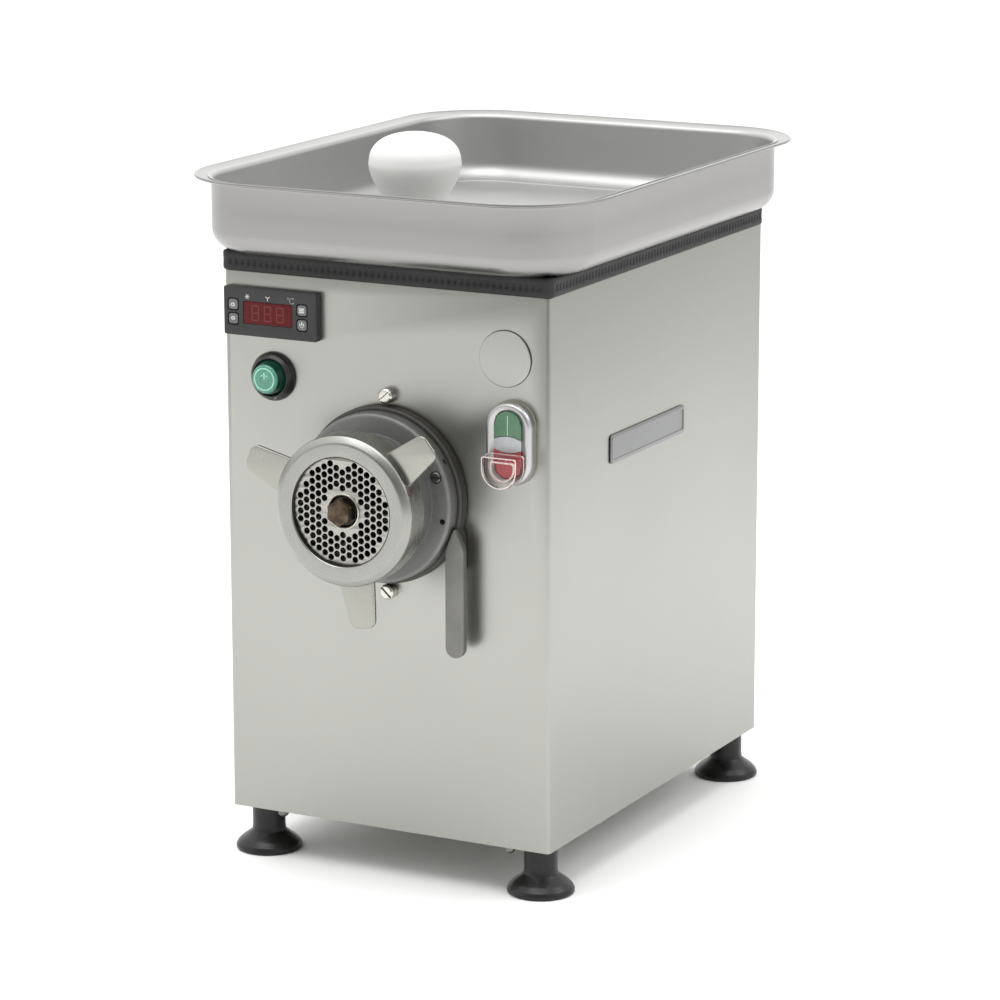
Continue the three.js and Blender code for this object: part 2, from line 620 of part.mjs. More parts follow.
// The two buttons and the lens share the oblong window.
function slice(z0, z1, y0, y1) {
  const a = solid(plateXZ(oblong(20, 45, 9.9), y0, y1, 4));
  const b = solid(box(SWITCH.x - 20, SWITCH.x + 20, -40, 40, SWITCH.z + z0, SWITCH.z + z1));
  return shape(a.intersect(b));
}
add('start_button', join(slice(4.3, 24, -8.8, -5), rod(1.8, -6, 12, SWITCH.x, SWITCH.z + 7, 10)),
  GREEN, 0.4, 0);
add('pilot_lens', slice(-4, 4, -8.8, -1.7), WHITE, 0.2, 0, 0.8);
add('stop_button', join(
  slice(-24, -4.3, -9.2, -5),
  plateXZ(roundRect(12.6, 10.8, 5, SWITCH.x, SWITCH.z - 15), -14, -9, 3),
  rod(1.8, -6, 12, SWITCH.x, SWITCH.z - 7, 10),
), RED, 0.4, 0);
const cover = (grow, z) => roundRect(25 + 2 * grow, 20.6 + 2 * grow, 9 + grow, SWITCH.x, SWITCH.z + z);
add('stop_cover', cut(
  plateXZ(cover(1, -16.8), -21.8, -9.7, 3),
  plateXZ(cover(0, -16.8), -20.8, -5, 3),
), WHITE, 0.2, 0, 0.35);

// ---- Tray and pusher ---------------------------------------------------------------------
// Pressed wall with a rounded bottom edge: a bevelled block less a smaller bevelled block.
function pressed(w, d, corner, edge, z0, z1) {
  const g = new THREE.ExtrudeGeometry(roundRect(w - 2 * edge, d - 2 * edge, corner - edge), {
    depth: z1 - z0, bevelEnabled: true, bevelThickness: edge, bevelSize: edge, bevelSegments: 3, curveSegments: 4,
  });
  return g.translate(0, CAB_D / 2, z0 + edge);
}
const rimLine = roundRect(RIM_W, RIM_D, RIM_R, 0, CAB_D / 2);
add('tray', cut(
  join(
    pressed(TRAY_W, TRAY_D, TRAY_R, TRAY_EDGE, TRAY_FLOOR, RIM_Z),
    plateXY(rimLine, RIM_Z - 2, RIM_Z, 4),
    post(28.4, TRAY_FLOOR - 14, TRAY_FLOOR + 1, HEAD_X, THROAT_Y),
  ),
  pressed(TRAY_W - 2 * TRAY_T, TRAY_D - 2 * TRAY_T, TRAY_R - TRAY_T, TRAY_EDGE - TRAY_T,
    TRAY_FLOOR + TRAY_T, RIM_Z + 4),
  plateXY(roundRect(RIM_W + 20, RIM_D + 20, 10, 0, CAB_D / 2), RIM_Z, RIM_Z + 60),
  post(26.8, TRAY_FLOOR - 20, TRAY_FLOOR + 10, HEAD_X, THROAT_Y),
), STEEL, 0.3, 0.9);

add('pusher', upright(turned([
  [0, 374], [22, 374], [24, 377], [24, 430.2], [33, 430.2], [34, 432], [33, 435], [22, 438.5],
  [18.8, 444], [18.5, 452], [20, 462], [23.5, 470.8], [28.2, 479], [30.7, 486.2], [31.3, 490],
  [30.4, 497], [27.5, 502.3], [22, 506.6], [14, 509.6], [6, 511.1], [0, 511.4],
], 20)).translate(HEAD_X, THROAT_Y, 0), WHITE, 0.5, 0);

export default machine;
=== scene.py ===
# Electric meat grinder with a refrigerated head: the finished look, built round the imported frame.
import math
import bmesh
import bpy
from mathutils import Matrix, Vector


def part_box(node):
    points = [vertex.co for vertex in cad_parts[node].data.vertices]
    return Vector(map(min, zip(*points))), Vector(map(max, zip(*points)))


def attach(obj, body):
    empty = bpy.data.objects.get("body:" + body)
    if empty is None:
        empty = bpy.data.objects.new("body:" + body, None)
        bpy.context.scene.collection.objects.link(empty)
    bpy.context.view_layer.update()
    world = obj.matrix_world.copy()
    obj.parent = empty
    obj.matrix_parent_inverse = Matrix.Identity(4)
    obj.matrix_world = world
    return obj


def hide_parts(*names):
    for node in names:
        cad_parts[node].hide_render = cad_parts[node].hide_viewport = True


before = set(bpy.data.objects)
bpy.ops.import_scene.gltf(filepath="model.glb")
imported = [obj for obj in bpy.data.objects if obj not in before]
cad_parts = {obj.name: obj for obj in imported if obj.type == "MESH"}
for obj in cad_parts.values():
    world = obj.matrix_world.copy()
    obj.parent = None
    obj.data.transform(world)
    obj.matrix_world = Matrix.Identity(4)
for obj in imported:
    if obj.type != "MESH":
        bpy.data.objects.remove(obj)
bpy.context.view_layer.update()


# ---- Camera, floor and light -------------------------------------------------------------------
# A long-lens product view from the front right over a matt white floor, under broad soft light.
# Nothing in this section belongs to the machine.
FRONT_Y = -152.6  # mm: where the front panel's face stands in the frame


def at(x, y, z):
    """A point in mm, with y counted from the front panel's face, as metres in the frame."""
    return Vector((x, y + FRONT_Y, z)) / 1000.0


camera = bpy.data.objects.new("camera", bpy.data.cameras.new("camera"))
bpy.context.collection.objects.link(camera)
camera.data.sensor_width = 36.0
camera.data.lens = 144.5
camera.matrix_world = (
    Matrix.Translation(at(1283.1, -2303.2, 885.9))
    @ Matrix.Rotation(math.radians(27.442), 4, "Z")
    @ Matrix.Rotation(math.radians(90 - 13.223), 4, "X")
    @ Matrix.Rotation(math.radians(-0.081), 4, "Z")
)
bpy.context.scene.camera = camera
bpy.context.scene.view_settings.view_transform = "Standard"


def linear(code):
    """A colour written as sRGB hex, turned to the linear values that a shader takes."""
    parts = [int(code[i:i + 2], 16) / 255 for i in (1, 3, 5)]
    return tuple(c / 12.92 if c <= 0.04045 else ((c + 0.055) / 1.055) ** 2.4 for c in parts) + (1.0,)


def node(owner, kind, inputs=None, **settings):
    """Adds one node to a material or the world, with its settings, values and incoming links."""
    made = owner.node_tree.nodes.new(kind)
    for key, value in settings.items():
        setattr(made, key, value)
    for key, value in (inputs or {}).items():
        if isinstance(value, bpy.types.NodeSocket):
            owner.node_tree.links.new(value, made.inputs[key])
        else:
            made.inputs[key].default_value = value
    return made


def substance(name, fixed):
    """A new material. Values that are the same all over are set on the shader itself."""
    mat = bpy.data.materials.new(name)
    mat.use_nodes = True
    shader = mat.node_tree.nodes["Principled BSDF"]
    for key, value in fixed.items():
        shader.inputs[key].default_value = value
    return mat, shader


def feed(mat, shader, **sockets):
    """Links outputs to the shader's inputs: Base_Color=... stands for Base Color."""
    for key, value in sockets.items():
        mat.node_tree.links.new(value, shader.inputs[key.replace("_", " ")])


def cloud(mat, scale, detail=2.0, roughness=0.5, place=None):
    """A cloudy pattern that stays with its piece: a scale of 500 gives marks about 2 mm across."""
    if place is None:
        place = node(mat, "ShaderNodeTexCoord").outputs["Object"]
    return node(mat, "ShaderNodeTexNoise", {
        "Vector": place, "Scale": scale, "Detail": detail, "Roughness": roughness}).outputs[0]


def ramp(mat, value, low, high, start=0.3, end=0.7):
    """Turns a value between start and end into one between low and high."""
    return node(mat, "ShaderNodeMapRange", {0: value, 1: start, 2: end, 3: low, 4: high}).outputs[0]


def blend(mat, value, dark, light, share=1.0):
    """Mixes two hex colours by a pattern, the first darkened to a share of itself."""
    shaded = tuple(c * share for c in linear(dark)[:3]) + (1.0,)
    return node(mat, "ShaderNodeMix", {0: value, 6: shaded, 7: linear(light)},
                data_type="RGBA").outputs[2]


def emboss(mat, height, strength, distance):
    """A bump from a pattern, its distance in metres."""
    return node(mat, "ShaderNodeBump", {
        "Height": height, "Strength": strength, "Distance": distance}).outputs[0]


def patterned(name, fixed, scale, detail=2.0, tones=None, gloss=None):
    """A material whose colour and roughness both follow one cloudy pattern."""
    mat, shader = substance(name, fixed)
    marks = cloud(mat, scale, detail)
    if tones:
        feed(mat, shader, Base_Color=blend(mat, marks, *tones))
    if gloss:
        feed(mat, shader, Roughness=ramp(mat, marks, *gloss))
    return mat


world = bpy.data.worlds.new("studio")
bpy.context.scene.world = world
world.use_nodes = True
# A pale cove, brighter overhead. It is dim low down on the near side, where the room is, brighter to
# the left, and brightest low behind the machine, where the sweep of the floor catches the lamps.
facing = node(world, "ShaderNodeTexCoord").outputs["Generated"]
height = node(world, "ShaderNodeSeparateXYZ", {0: facing}).outputs[2]
strength = ramp(world, height, 0.7, 1.3, 0.0, 0.9)
for toward, start, end, share in (((0.30, -0.95, 0.10), 0.45, 0.95, 0.32),
                                  ((-0.80, -0.35, 0.48), 0.45, 0.95, 1.3),
                                  ((-0.42, 0.88, 0.22), 0.7, 0.97, 1.9)):
    lean = node(world, "ShaderNodeVectorMath", {0: facing, 1: toward}, operation="DOT_PRODUCT")
    patch = ramp(world, lean.outputs["Value"], 1.0, share, start, end)
    strength = node(world, "ShaderNodeMath", {0: strength, 1: patch}, operation="MULTIPLY").outputs[0]
backdrop = world.node_tree.nodes["Background"]
backdrop.inputs["Color"].default_value = linear("#fffffe")
world.node_tree.links.new(strength, backdrop.inputs["Strength"])


def lamp(name, place, target, size, watts):
    """A round soft box, in metres and watts, turned towards its target."""
    light = bpy.data.lights.new(name, "AREA")
    light.shape = "DISK"
    light.size = size
    light.energy = watts
    made = bpy.data.objects.new(name, light)
    made.location = place
    made.rotation_euler = (Vector(target) - Vector(place)).to_track_quat("-Z", "Y").to_euler()
    bpy.context.collection.objects.link(made)


lamp("overhead", (-0.1, -0.8, 2.8), (-0.1, -0.8, 0), 2.6, 44)
lamp("fill_right", (2.1, 0.7, 2.0), (0.6, 0.3, 0), 1.5, 16)

floor_mesh = bpy.data.meshes.new("studio_floor")
floor_mesh.from_pydata([(-20, -20, 0), (20, -20, 0), (20, 20, 0), (-20, 20, 0)], [], [(0, 1, 2, 3)])
studio_floor = bpy.data.objects.new("studio_floor", floor_mesh)
bpy.context.collection.objects.link(studio_floor)
# Matt white paint: only a faint unevenness about 300 mm across keeps it from being one flat tone.
floor_mesh.materials.append(patterned(
    "matt white floor paint", {"Roughness": 0.9, "Specular IOR Level": 0.2}, 3.3,
    tones=("#f6f6f6", "#fcfcfc")))


# ---- Cabinet: wrapped sheet, inner sheets, rear panel ------------------------------------------
# The front and both sides are one 1.5 mm stainless sheet bent round the front corners.
# It is satin brushed upright before bending; the base pan and top deck are folded sheets
# screwed inside it, and the rear panel drops in between the sides with pressed louvres.
CAB_W, CAB_D, CAB_BASE, CAB_TOP, SHEET = 248.0, 340.0, 34.4, 414.6, 1.5
HALF = CAB_W / 2


def brushed_stainless(name, grain, tone="#a9a9a4", rough=0.34, relief=0.015):
    """Satin stainless. grain is the length of a scratch in mm along X, Y and Z. Real scratches are
    about 0.05 mm wide, so they are drawn 0.8 mm wide to show at all. The eye gets soft streaks."""
    mat, shader = substance(name, {"Metallic": 1.0})
    place = node(mat, "ShaderNodeTexCoord").outputs["Object"]
    drawn = node(mat, "ShaderNodeMapping", {"Vector": place, "Scale": [1000 / g for g in grain]})
    lines = cloud(mat, 1.0, 3.0, 0.6, drawn.outputs[0])
    # Smudges and cleaning marks about 90 mm across.
    worn = ramp(mat, cloud(mat, 11.0, 3.0), -0.015, 0.02, 0.35, 0.65)
    gloss = node(mat, "ShaderNodeMath",
                 {0: ramp(mat, lines, rough - 0.02, rough + 0.02), 1: worn}, operation="ADD")
    feed(mat, shader, Base_Color=blend(mat, lines, tone, tone, 0.975), Roughness=gloss.outputs[0],
         Normal=emboss(mat, lines, relief, 0.0001))
    return mat


def build(name, points, faces, crease=32):
    """A mesh object from points in mm measured from the front panel, with soft shading."""
    mesh = bpy.data.meshes.new(name)
    mesh.from_pydata([at(*p) for p in points], [], faces)
    bm = bmesh.new()
    bm.from_mesh(mesh)
    bmesh.ops.remove_doubles(bm, verts=bm.verts, dist=1e-7)
    bmesh.ops.recalc_face_normals(bm, faces=bm.faces)
    bm.to_mesh(mesh)
    bm.free()
    mesh.shade_smooth()
    mesh.set_sharp_from_angle(angle=math.radians(crease))
    made = bpy.data.objects.new(name, mesh)
    bpy.context.collection.objects.link(made)
    return made


def dress(piece, mat, body, slot, *replaced):
    """Gives a piece its material, its body and the CAD nodes it stands for."""
    piece.data.materials.clear()
    piece.data.materials.append(mat)
    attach(piece, body)
    if replaced:
        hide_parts(*replaced)
    return piece


def arc(cx, cy, r, start, end, steps):
    """Points on an arc, angles in degrees."""
    span = [math.radians(start + (end - start) * i / steps) for i in range(steps + 1)]
    return [(cx + r * math.cos(a), cy + r * math.sin(a)) for a in span]


def round_rect(w, h, r, cx=0.0, cy=0.0, steps=8):
    """A rectangle w by h with rounded corners, steps points on each."""
    x, y = w / 2 - r, h / 2 - r
    return (arc(cx + x, cy + y, r, 0, 90, steps) + arc(cx - x, cy + y, r, 90, 180, steps)
            + arc(cx - x, cy - y, r, 180, 270, steps) + arc(cx + x, cy - y, r, 270, 360, steps))


def slab(name, outlines, low, high, edge=0.3, plane="XZ", rounds=2):
    """A flat plate cut to its outline and holes, low to high through its thickness, edges eased."""
    curve = bpy.data.curves.new(name, "CURVE")
    curve.dimensions = "2D"
    curve.fill_mode = "BOTH"
    curve.extrude = (high - low) / 2 - edge
    curve.bevel_depth = edge
    curve.offset = -edge
    curve.bevel_resolution = rounds
    for outline in outlines:
        spline = curve.splines.new("POLY")
        spline.points.add(len(outline) - 1)
        for point, (u, v) in zip(spline.points, outline):
            point.co = (u, v, 0, 1)
        spline.use_cyclic_u = True
    drawn = bpy.data.objects.new(name, curve)
    bpy.context.collection.objects.link(drawn)
    flat = bpy.data.meshes.new_from_object(drawn.evaluated_get(bpy.context.evaluated_depsgraph_get()))
    middle = (low + high) / 2
    if plane == "XZ":
        points = [(v.co.x, middle + v.co.z, v.co.y) for v in flat.vertices]
    else:
        points = [(v.co.x, v.co.y, middle + v.co.z) for v in flat.vertices]
    faces = [tuple(p.vertices) for p in flat.polygons]
    bpy.data.objects.remove(drawn)
    return build(name, points, faces)


def turned(name, profile, x=0.0, other=0.0, upright=False, steps=96, closed=False):
    """A turned piece: (radius, position) pairs swept round an axis along Y, or along Z if upright."""
    points, rows, faces = [], [], []
    for r, s in profile:
        row = []
        for i in range(steps if r > 1e-6 else 1):
            a = 2 * math.pi * i / steps
            u, v = r * math.cos(a), r * math.sin(a)
            row.append(len(points))
            points.append((x + u, other + v, s) if upright else (x + u, s, other + v))
        rows.append(row)
    pairs = list(zip(rows, rows[1:])) + ([(rows[-1], rows[0])] if closed else [])
    for a, b in pairs:
        for i in range(steps):
            j = (i + 1) % steps
            face = [a[i % len(a)], a[j % len(a)], b[j % len(b)], b[i % len(b)]]
            face = [f for k, f in enumerate(face) if f not in face[:k]]
            if len(face) > 2:
                faces.append(face)
    return build(name, points, faces)


def eased(profile, closed=False, steps=4):
    """Rounds each corner of a profile by its third number, in mm."""
    out, n = [], len(profile)
    for i, corner in enumerate(profile):
        r = corner[2] if len(corner) > 2 else 0
        here = Vector(corner[:2])
        if not r or (not closed and i in (0, n - 1)):
            out.append(tuple(here))
            continue
        back, ahead = Vector(profile[i - 1][:2]) - here, Vector(profile[(i + 1) % n][:2]) - here
        cut = min(r / math.tan(back.angle(ahead) / 2), back.length * 0.49, ahead.length * 0.49)
        start, end = here + back.normalized() * cut, here + ahead.normalized() * cut
        for k in range(steps + 1):
            t = k / steps
            out.append(tuple(start.lerp(here, t).lerp(here.lerp(end, t), t)))
    return out


def carve(piece, tools, operation="DIFFERENCE"):
    """Cuts tools out of a piece, or joins them to it, and removes them."""
    for tool in tools:
        change = piece.modifiers.new("cut", "BOOLEAN")
        change.operation, change.solver, change.object = operation, "EXACT", tool
    result = bpy.data.meshes.new_from_object(piece.evaluated_get(bpy.context.evaluated_depsgraph_get()))
    piece.modifiers.clear()
    piece.data = result
    for tool in tools:
        bpy.data.objects.remove(tool)
    result.shade_smooth()
    result.set_sharp_from_angle(angle=math.radians(32))
    return piece


def drill(x, z, r, y0=-6.0, y1=9.0, steps=64, upright=False):
    """A round cutter along Y, or along Z if upright."""
    return turned("drill", [(0, y0), (r, y0), (r, y1), (0, y1)], x, z, upright, steps)


def block(name, x0, x1, y0, y1, z0, z1):
    """A plain box between two corners."""
    corners = [(x, y, z) for x in (x0, x1) for y in (y0, y1) for z in (z0, z1)]
    sides = [(0, 1, 3, 2), (4, 6, 7, 5), (0, 4, 5, 1), (2, 3, 7, 6), (0, 2, 6, 4), (1, 5, 7, 3)]
    return build(name, corners, sides)


# Where the head, its screws and the controls sit on the panel.
HEAD_X, HEAD_Z, SCREW_X, SCREW_R = 2.0, 272.0, 3.5, 67.6
THERMO_X, THERMO_Z = -84.8, 388.2
POWER_X, POWER_Z = -85.6, 344.2
DISC_X, DISC_Z = 91.4, 372.0
SWITCH_X, SWITCH_Z = 97.2, 316.1
BEND = 2.8

wrap_line = (
    [(-HALF, CAB_D)] + arc(-HALF + BEND, BEND, BEND, 180, 270, 12)
    + arc(HALF - BEND, BEND, BEND, 270, 360, 12) + [(HALF, CAB_D), (HALF - SHEET, CAB_D)]
    + arc(HALF - BEND, BEND, BEND - SHEET, 360, 270, 12)
    + arc(-HALF + BEND, BEND, BEND - SHEET, 270, 180, 12) + [(-HALF + SHEET, CAB_D)]
)
wrap = slab("cabinet_sheet", [wrap_line], CAB_BASE, CAB_TOP, 0.25, "XY", 1)
# Each hole's middle, radius and number of sides.
PANEL_HOLES = [
    (HEAD_X, HEAD_Z, 52.9, 96), (SCREW_X, HEAD_Z + SCREW_R, 3.4, 16),
    (SCREW_X, HEAD_Z - SCREW_R, 3.4, 16), (POWER_X, POWER_Z, 13.3, 64),
    (DISC_X, DISC_Z, 15.0, 64), (SWITCH_X, SWITCH_Z, 11.3, 64),
]
window = block("drill", THERMO_X - 34.3, THERMO_X + 34.3, -6, 9, THERMO_Z - 14.3, THERMO_Z + 14.3)
carve(wrap, [drill(x, z, r, steps=sides) for x, z, r, sides in PANEL_HOLES] + [window])
upright_grain = brushed_stainless("stainless sheet, brushed upright", (0.8, 0.8, 55.0))
dress(wrap, upright_grain, "cabinet", "satin_steel", "cabinet_wrap")

# Rear panel: the slots open under small hoods pressed outwards.
LOUVRES = [(x, z) for x in (-52, 52) for z in (62, 78, 94, 110, 126, 142, 158, 216, 232, 248, 264)]
rear_line = round_rect(CAB_W - 3.6, CAB_TOP - CAB_BASE - 0.6, 2.0, 0, (CAB_TOP + CAB_BASE) / 2)
rear_holes = [round_rect(80, 4, 1.6, x, z, 3) for x, z in LOUVRES] + [arc(92, 190, 8, 0, 345, 23)]
rear = slab("rear_sheet", [rear_line] + rear_holes, CAB_D - 2, CAB_D - 0.5, 0.2, "XZ", 1)
dress(rear, upright_grain, "cabinet", "satin_steel", "rear_panel")
REAR_FACE, SILL, HOOD = CAB_D - 0.5, 2.6, (4.2, 6.4)  # a hood's depth and height
hood_points, hood_faces = [], []
for x, z in LOUVRES:
    first = len(hood_points)
    for k in range(7):
        a = math.pi / 2 * k / 6
        y, rise = REAR_FACE + HOOD[0] * math.cos(a), z - SILL + HOOD[1] * math.sin(a)
        for s, inset in ((-1, 0), (-1, 3), (1, 3), (1, 0)):
            depth = y if inset else REAR_FACE
            level = rise if inset else z - SILL + HOOD[1] * k / 6
            hood_points.append((x + s * (41.5 - inset), depth, level))
    for k in range(6):
        for c in range(3):
            a = first + 4 * k + c
            hood_faces.append((a, a + 1, a + 5, a + 4))
dress(build("louvre_hoods", hood_points, hood_faces), upright_grain, "cabinet", "satin_steel")

def coat(mat, *names):
    """Gives their material to CAD pieces that keep their own mesh."""
    for name in names:
        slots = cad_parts[name].data.materials
        slots.clear()
        slots.append(mat)


coat(upright_grain, "base_pan", "top_deck")


def carry(piece, turn, start, end):
    """Turns a mesh about one point and carries that point to another."""
    piece.data.transform(Matrix.Translation(at(*end)) @ turn @ Matrix.Translation(-at(*start)))


def cross_head(name, x, y, z, facing, tall=3.0):
    """A small domed screw with a cross recess. facing is -1 down or 1 towards the back."""
    dome = eased([(0, tall), (2.0, tall - 0.3, 1), (3.7, tall - 1.9, 1), (3.9, 0.0), (0, 0.0)])
    head = turned(name, dome, steps=32)
    arms = ((1.9, 0.35), (0.35, 1.9))
    carve(head, [block("cut", -w, w, tall - 1.1, tall + 1, -h, h) for w, h in arms])
    carry(head, Matrix.Rotation(-math.pi / 2 if facing < 0 else 0, 4, "X"), (0, 0, 0), (x, y, z))
    return head


# Zinc-plated steel: slightly yellow, its shine broken by a fine rolled texture.
zinc = patterned("zinc-plated steel", {"Metallic": 1.0, "Base Color": linear("#b9b7ad")}, 1400.0,
                 gloss=(0.22, 0.42))
REAR_SCREWS = [(s * 116, z) for s in (-1, 1) for z in (44, 224, 404)]
for i, (x, z) in enumerate(REAR_SCREWS):
    dress(cross_head(f"rear_screw_{i + 1}", x, CAB_D - 0.4, z, 1), zinc, "cabinet", "polished_steel")
# Zinc in a darker grey that takes no highlight: painted shade for the screw sunk in the bell's recess,
# also used for the screws under the base.
shaded_zinc = brushed_stainless("zinc-plated steel, darkened as painted shade", (1.2, 1.2, 1.2), "#7c7c78", 0.4)
BASE_SCREWS = [(-88, 8), (90, 8), (-88, 331), (88, 331)]
for i, (x, y) in enumerate(BASE_SCREWS):
    dress(cross_head(f"base_screw_{i + 1}", x, y, CAB_BASE, -1, 6.0), shaded_zinc,
          "cabinet", "polished_steel")

# A blank plate: thin satin metal with a raised border, riveted on the right side.
badge = slab("blank_plate", [round_rect(118, 20, 3)], 0, 1.2, 0.3)
border = slab("blank_plate_border", [round_rect(116, 18, 2.4), round_rect(112.4, 14.4, 1.2)],
              -0.35, 0.2, 0.12)
plate_metal = brushed_stainless("anodised plate, brushed along", (0.8, 30.0, 0.8), "#8f9090", 0.42)
for part in (badge, border):
    carry(part, Matrix.Rotation(math.pi / 2, 4, "Z"), (0, 0, 0), (HALF + 1.55, 149, 296))
dress(badge, plate_metal, "cabinet", "alu_casting", "side_badge")
dress(border, plate_metal, "cabinet", "alu_casting")


# ---- Feet and edge trim ------------------------------------------------------------------------
# Four screw-in feet and a press-on trim moulded in black rubber. Rubber is matt, faintly grey
# on raised edges, with a fine moulded grain; the trim is ribbed so that it grips the tray.
def black_rubber(name, dark, light, rough):
    """Moulded rubber: almost no colour, a weak broken sheen. Pores about 1 mm across, drawn coarse."""
    mat, shader = substance(name, {"Specular IOR Level": 0.4})
    pores = cloud(mat, 900.0, 3.0)
    feed(mat, shader, Base_Color=blend(mat, cloud(mat, 25.0, 3.0), dark, light),
         Roughness=ramp(mat, pores, rough - 0.08, rough + 0.08), Normal=emboss(mat, pores, 0.2, 0.0002))
    return mat


rubber = black_rubber("moulded black rubber", "#181818", "#2c2c2c", 0.6)
hard_rubber = black_rubber("hard black rubber, polished by the mould", "#101010", "#1c1c1c", 0.34)
FOOT_LINE = eased([
    (0, 0), (21.8, 0, 0.3), (23.2, 0.9, 0.6), (23.3, 2.6, 0.8), (22.2, 4.9, 2.5), (19.2, 8.0, 5),
    (15.0, 11.0, 4), (12.0, 13.4, 2), (11.5, 17.0, 2), (11.5, 34.1), (0, 34.1)])
for name in ("front_left", "front_right", "back_left", "back_right"):
    low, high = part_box("foot_" + name)
    middle = (low + high) * 500
    foot = turned("rubber_foot_" + name, FOOT_LINE, middle.x, middle.y - FRONT_Y, True, 64)
    dress(foot, hard_rubber, "cabinet", "black_rubber", "foot_" + name)

# Trim: points every 1.2 mm round the cabinet; a narrow pit every 4.8 mm.
TRIM_LOW, TRIM_HIGH, RIB = CAB_TOP + 0.3, 428.2, 1.2


def edge_path(step):
    """Points round the cabinet's top edge with their outward directions, a whole number of pits."""
    corner, w, d = 4.0, HALF - 4.0, CAB_D
    runs = [((HALF, corner), (HALF, d - corner), (1, 0)), ((w, d), (-w, d), (0, 1)),
            ((-HALF, d - corner), (-HALF, corner), (-1, 0)), ((-w, 0), (w, 0), (0, -1))]
    centres = [(w, d - corner, 0), (-w, d - corner, 90), (-w, corner, 180), (w, corner, 270)]
    path = []
    for (start, end, out), (cx, cy, turn) in zip(runs, centres):
        count = 4 * round(math.dist(start, end) / step / 4)
        for i in range(count):
            t = i / count
            x, y = (start[k] + (end[k] - start[k]) * t for k in (0, 1))
            path.append((x, y, *out, i % 4 == 2))
        for i in range(8):
            a = math.radians(turn + 90 * i / 8)
            nx, ny = math.cos(a), math.sin(a)
            path.append((cx + corner * nx, cy + corner * ny, nx, ny, False))
    return path


TRIM_LINE = [(-8, TRIM_LOW, 0), (0.8, TRIM_LOW, 0), (1.7, TRIM_LOW + 0.5, 0), (2.0, TRIM_LOW + 1.5, 0),
             (2.0, TRIM_LOW + 4.2, 0), (1.9, TRIM_LOW + 5.0, 1), (1.9, TRIM_LOW + 8.4, 1),
             (2.0, TRIM_LOW + 9.2, 0), (2.0, TRIM_HIGH - 1.4, 0), (1.6, TRIM_HIGH - 0.4, 0),
             (0.6, TRIM_HIGH, 0), (-8, TRIM_HIGH, 0)]
path = edge_path(RIB)
trim_points, trim_faces = [], []
for out, z, ribbed in TRIM_LINE:
    for x, y, nx, ny, pit in path:
        reach = out - (1.1 if ribbed and pit else 0)
        trim_points.append((x + nx * reach, y + ny * reach, z))
count = len(path)
for row in range(len(TRIM_LINE)):
    for i in range(count):
        a, b = row * count + i, row * count + (i + 1) % count
        c = ((row + 1) % len(TRIM_LINE)) * count
        trim_faces.append((a, b, c + (i + 1) % count, c + i))
dress(build("ribbed_trim", trim_points, trim_faces, 50), rubber, "cabinet", "black_rubber", "edge_trim")


# ---- Tray and pusher ---------------------------------------------------------------------------
# The tray is drawn from one stainless sheet, with a flared rolled rim and a shallow step in its
# floor, and is finely brushed round its walls. The pusher is one piece of white polyethylene.
TRAY_W, TRAY_D, TRAY_R, TRAY_FLOOR = 284.5, 384.8, 52.0, 428.5
THROAT_Y = 41.0


def loft(name, loops, crease=32):
    """A closed skin through loops of equal length, capped at the first and the last."""
    points = [p for loop in loops for p in loop]
    n = len(loops[0])
    faces = [tuple(range(n)), tuple(range((len(loops) - 1) * n, len(loops) * n))]
    for row in range(len(loops) - 1):
        for i in range(n):
            j = (i + 1) % n
            faces.append((row * n + i, row * n + j, (row + 1) * n + j, (row + 1) * n + i))
    return build(name, points, faces, crease)


def tray_loop(inset, z):
    """The tray's outline at one height, inset from the outside of its wall."""
    line = round_rect(TRAY_W - 2 * inset, TRAY_D - 2 * inset, TRAY_R - inset, 0, CAB_D / 2, 14)
    return [(x, y, z) for x, y in line]


EDGE, SHEET_T = 14.5, 1.4  # the bottom bend and the sheet
quarter = [(math.sin(math.radians(a)), math.cos(math.radians(a))) for a in range(0, 91, 10)]
outside = [(EDGE * (1 - s), TRAY_FLOOR + EDGE * (1 - c)) for s, c in quarter] + [(0, 458.0)]
outside += [(-2.2 + 2.2 * c, 474.8 + 2.2 * s) for s, c in quarter[::2] + quarter[-1:]]
outside += [(-9.6, 478.0), (-10.8, 477.9), (-11.4, 478.3), (-11.55, 479.0), (-11.3, 479.7),
            (-10.7, 480.0), (-10.0, 479.9), (-9.4, 479.4), (-8.6, 479.1)]
core = [(-2.2 + 2.9 * c, 474.8 + 2.9 * s) for s, c in quarter[::-2] + quarter[:1]] + [(0.7, 458.0)]
core += [(EDGE - (EDGE - 0.7) * s, TRAY_FLOOR + EDGE - (EDGE - 0.7) * c) for s, c in quarter[::-1]]
inside = [(-2.2 + 3.6 * c, 474.8 + 3.6 * s) for s, c in quarter[::-2] + quarter[:1]] + [(SHEET_T, 458.0)]
inside += [(EDGE - (EDGE - SHEET_T) * s, TRAY_FLOOR + EDGE - (EDGE - 2.1) * c) for s, c in quarter[::-1]]
inside += [(15.0, 430.55), (15.8, 430.0), (16.6, 429.6), (17.6, 429.5)]
# Each section is inset and height: the outside, then the middle of the sheet, then the inside.
shaded_round_grain = brushed_stainless("drawn stainless, brushed round, darkened as painted shade", (40.0, 40.0, 1.0), "#989796",
                                0.30, 0.004)
# The inside is duller than the outside from scouring by use and by cleaning; its lighter tone is painted
# light, and the outside's darker tone painted shade.
scoured_and_lit = brushed_stainless("drawn stainless, scoured inside", (25.0, 25.0, 1.2), "#b6b6b5", 0.48)
skins = (("pressed_tray", outside + core, shaded_round_grain, ("tray",)),
         ("pressed_tray_inside", core[::-1] + inside, scoured_and_lit, ()))
for name, skin, metal, replaced in skins:
    tray = loft(name, [tray_loop(d, z) for d, z in skin])
    carve(tray, [drill(HEAD_X, THROAT_Y, 26.8, 400, 450, 96, True)])
    dress(tray, metal, "tray", "tray_steel", *replaced)


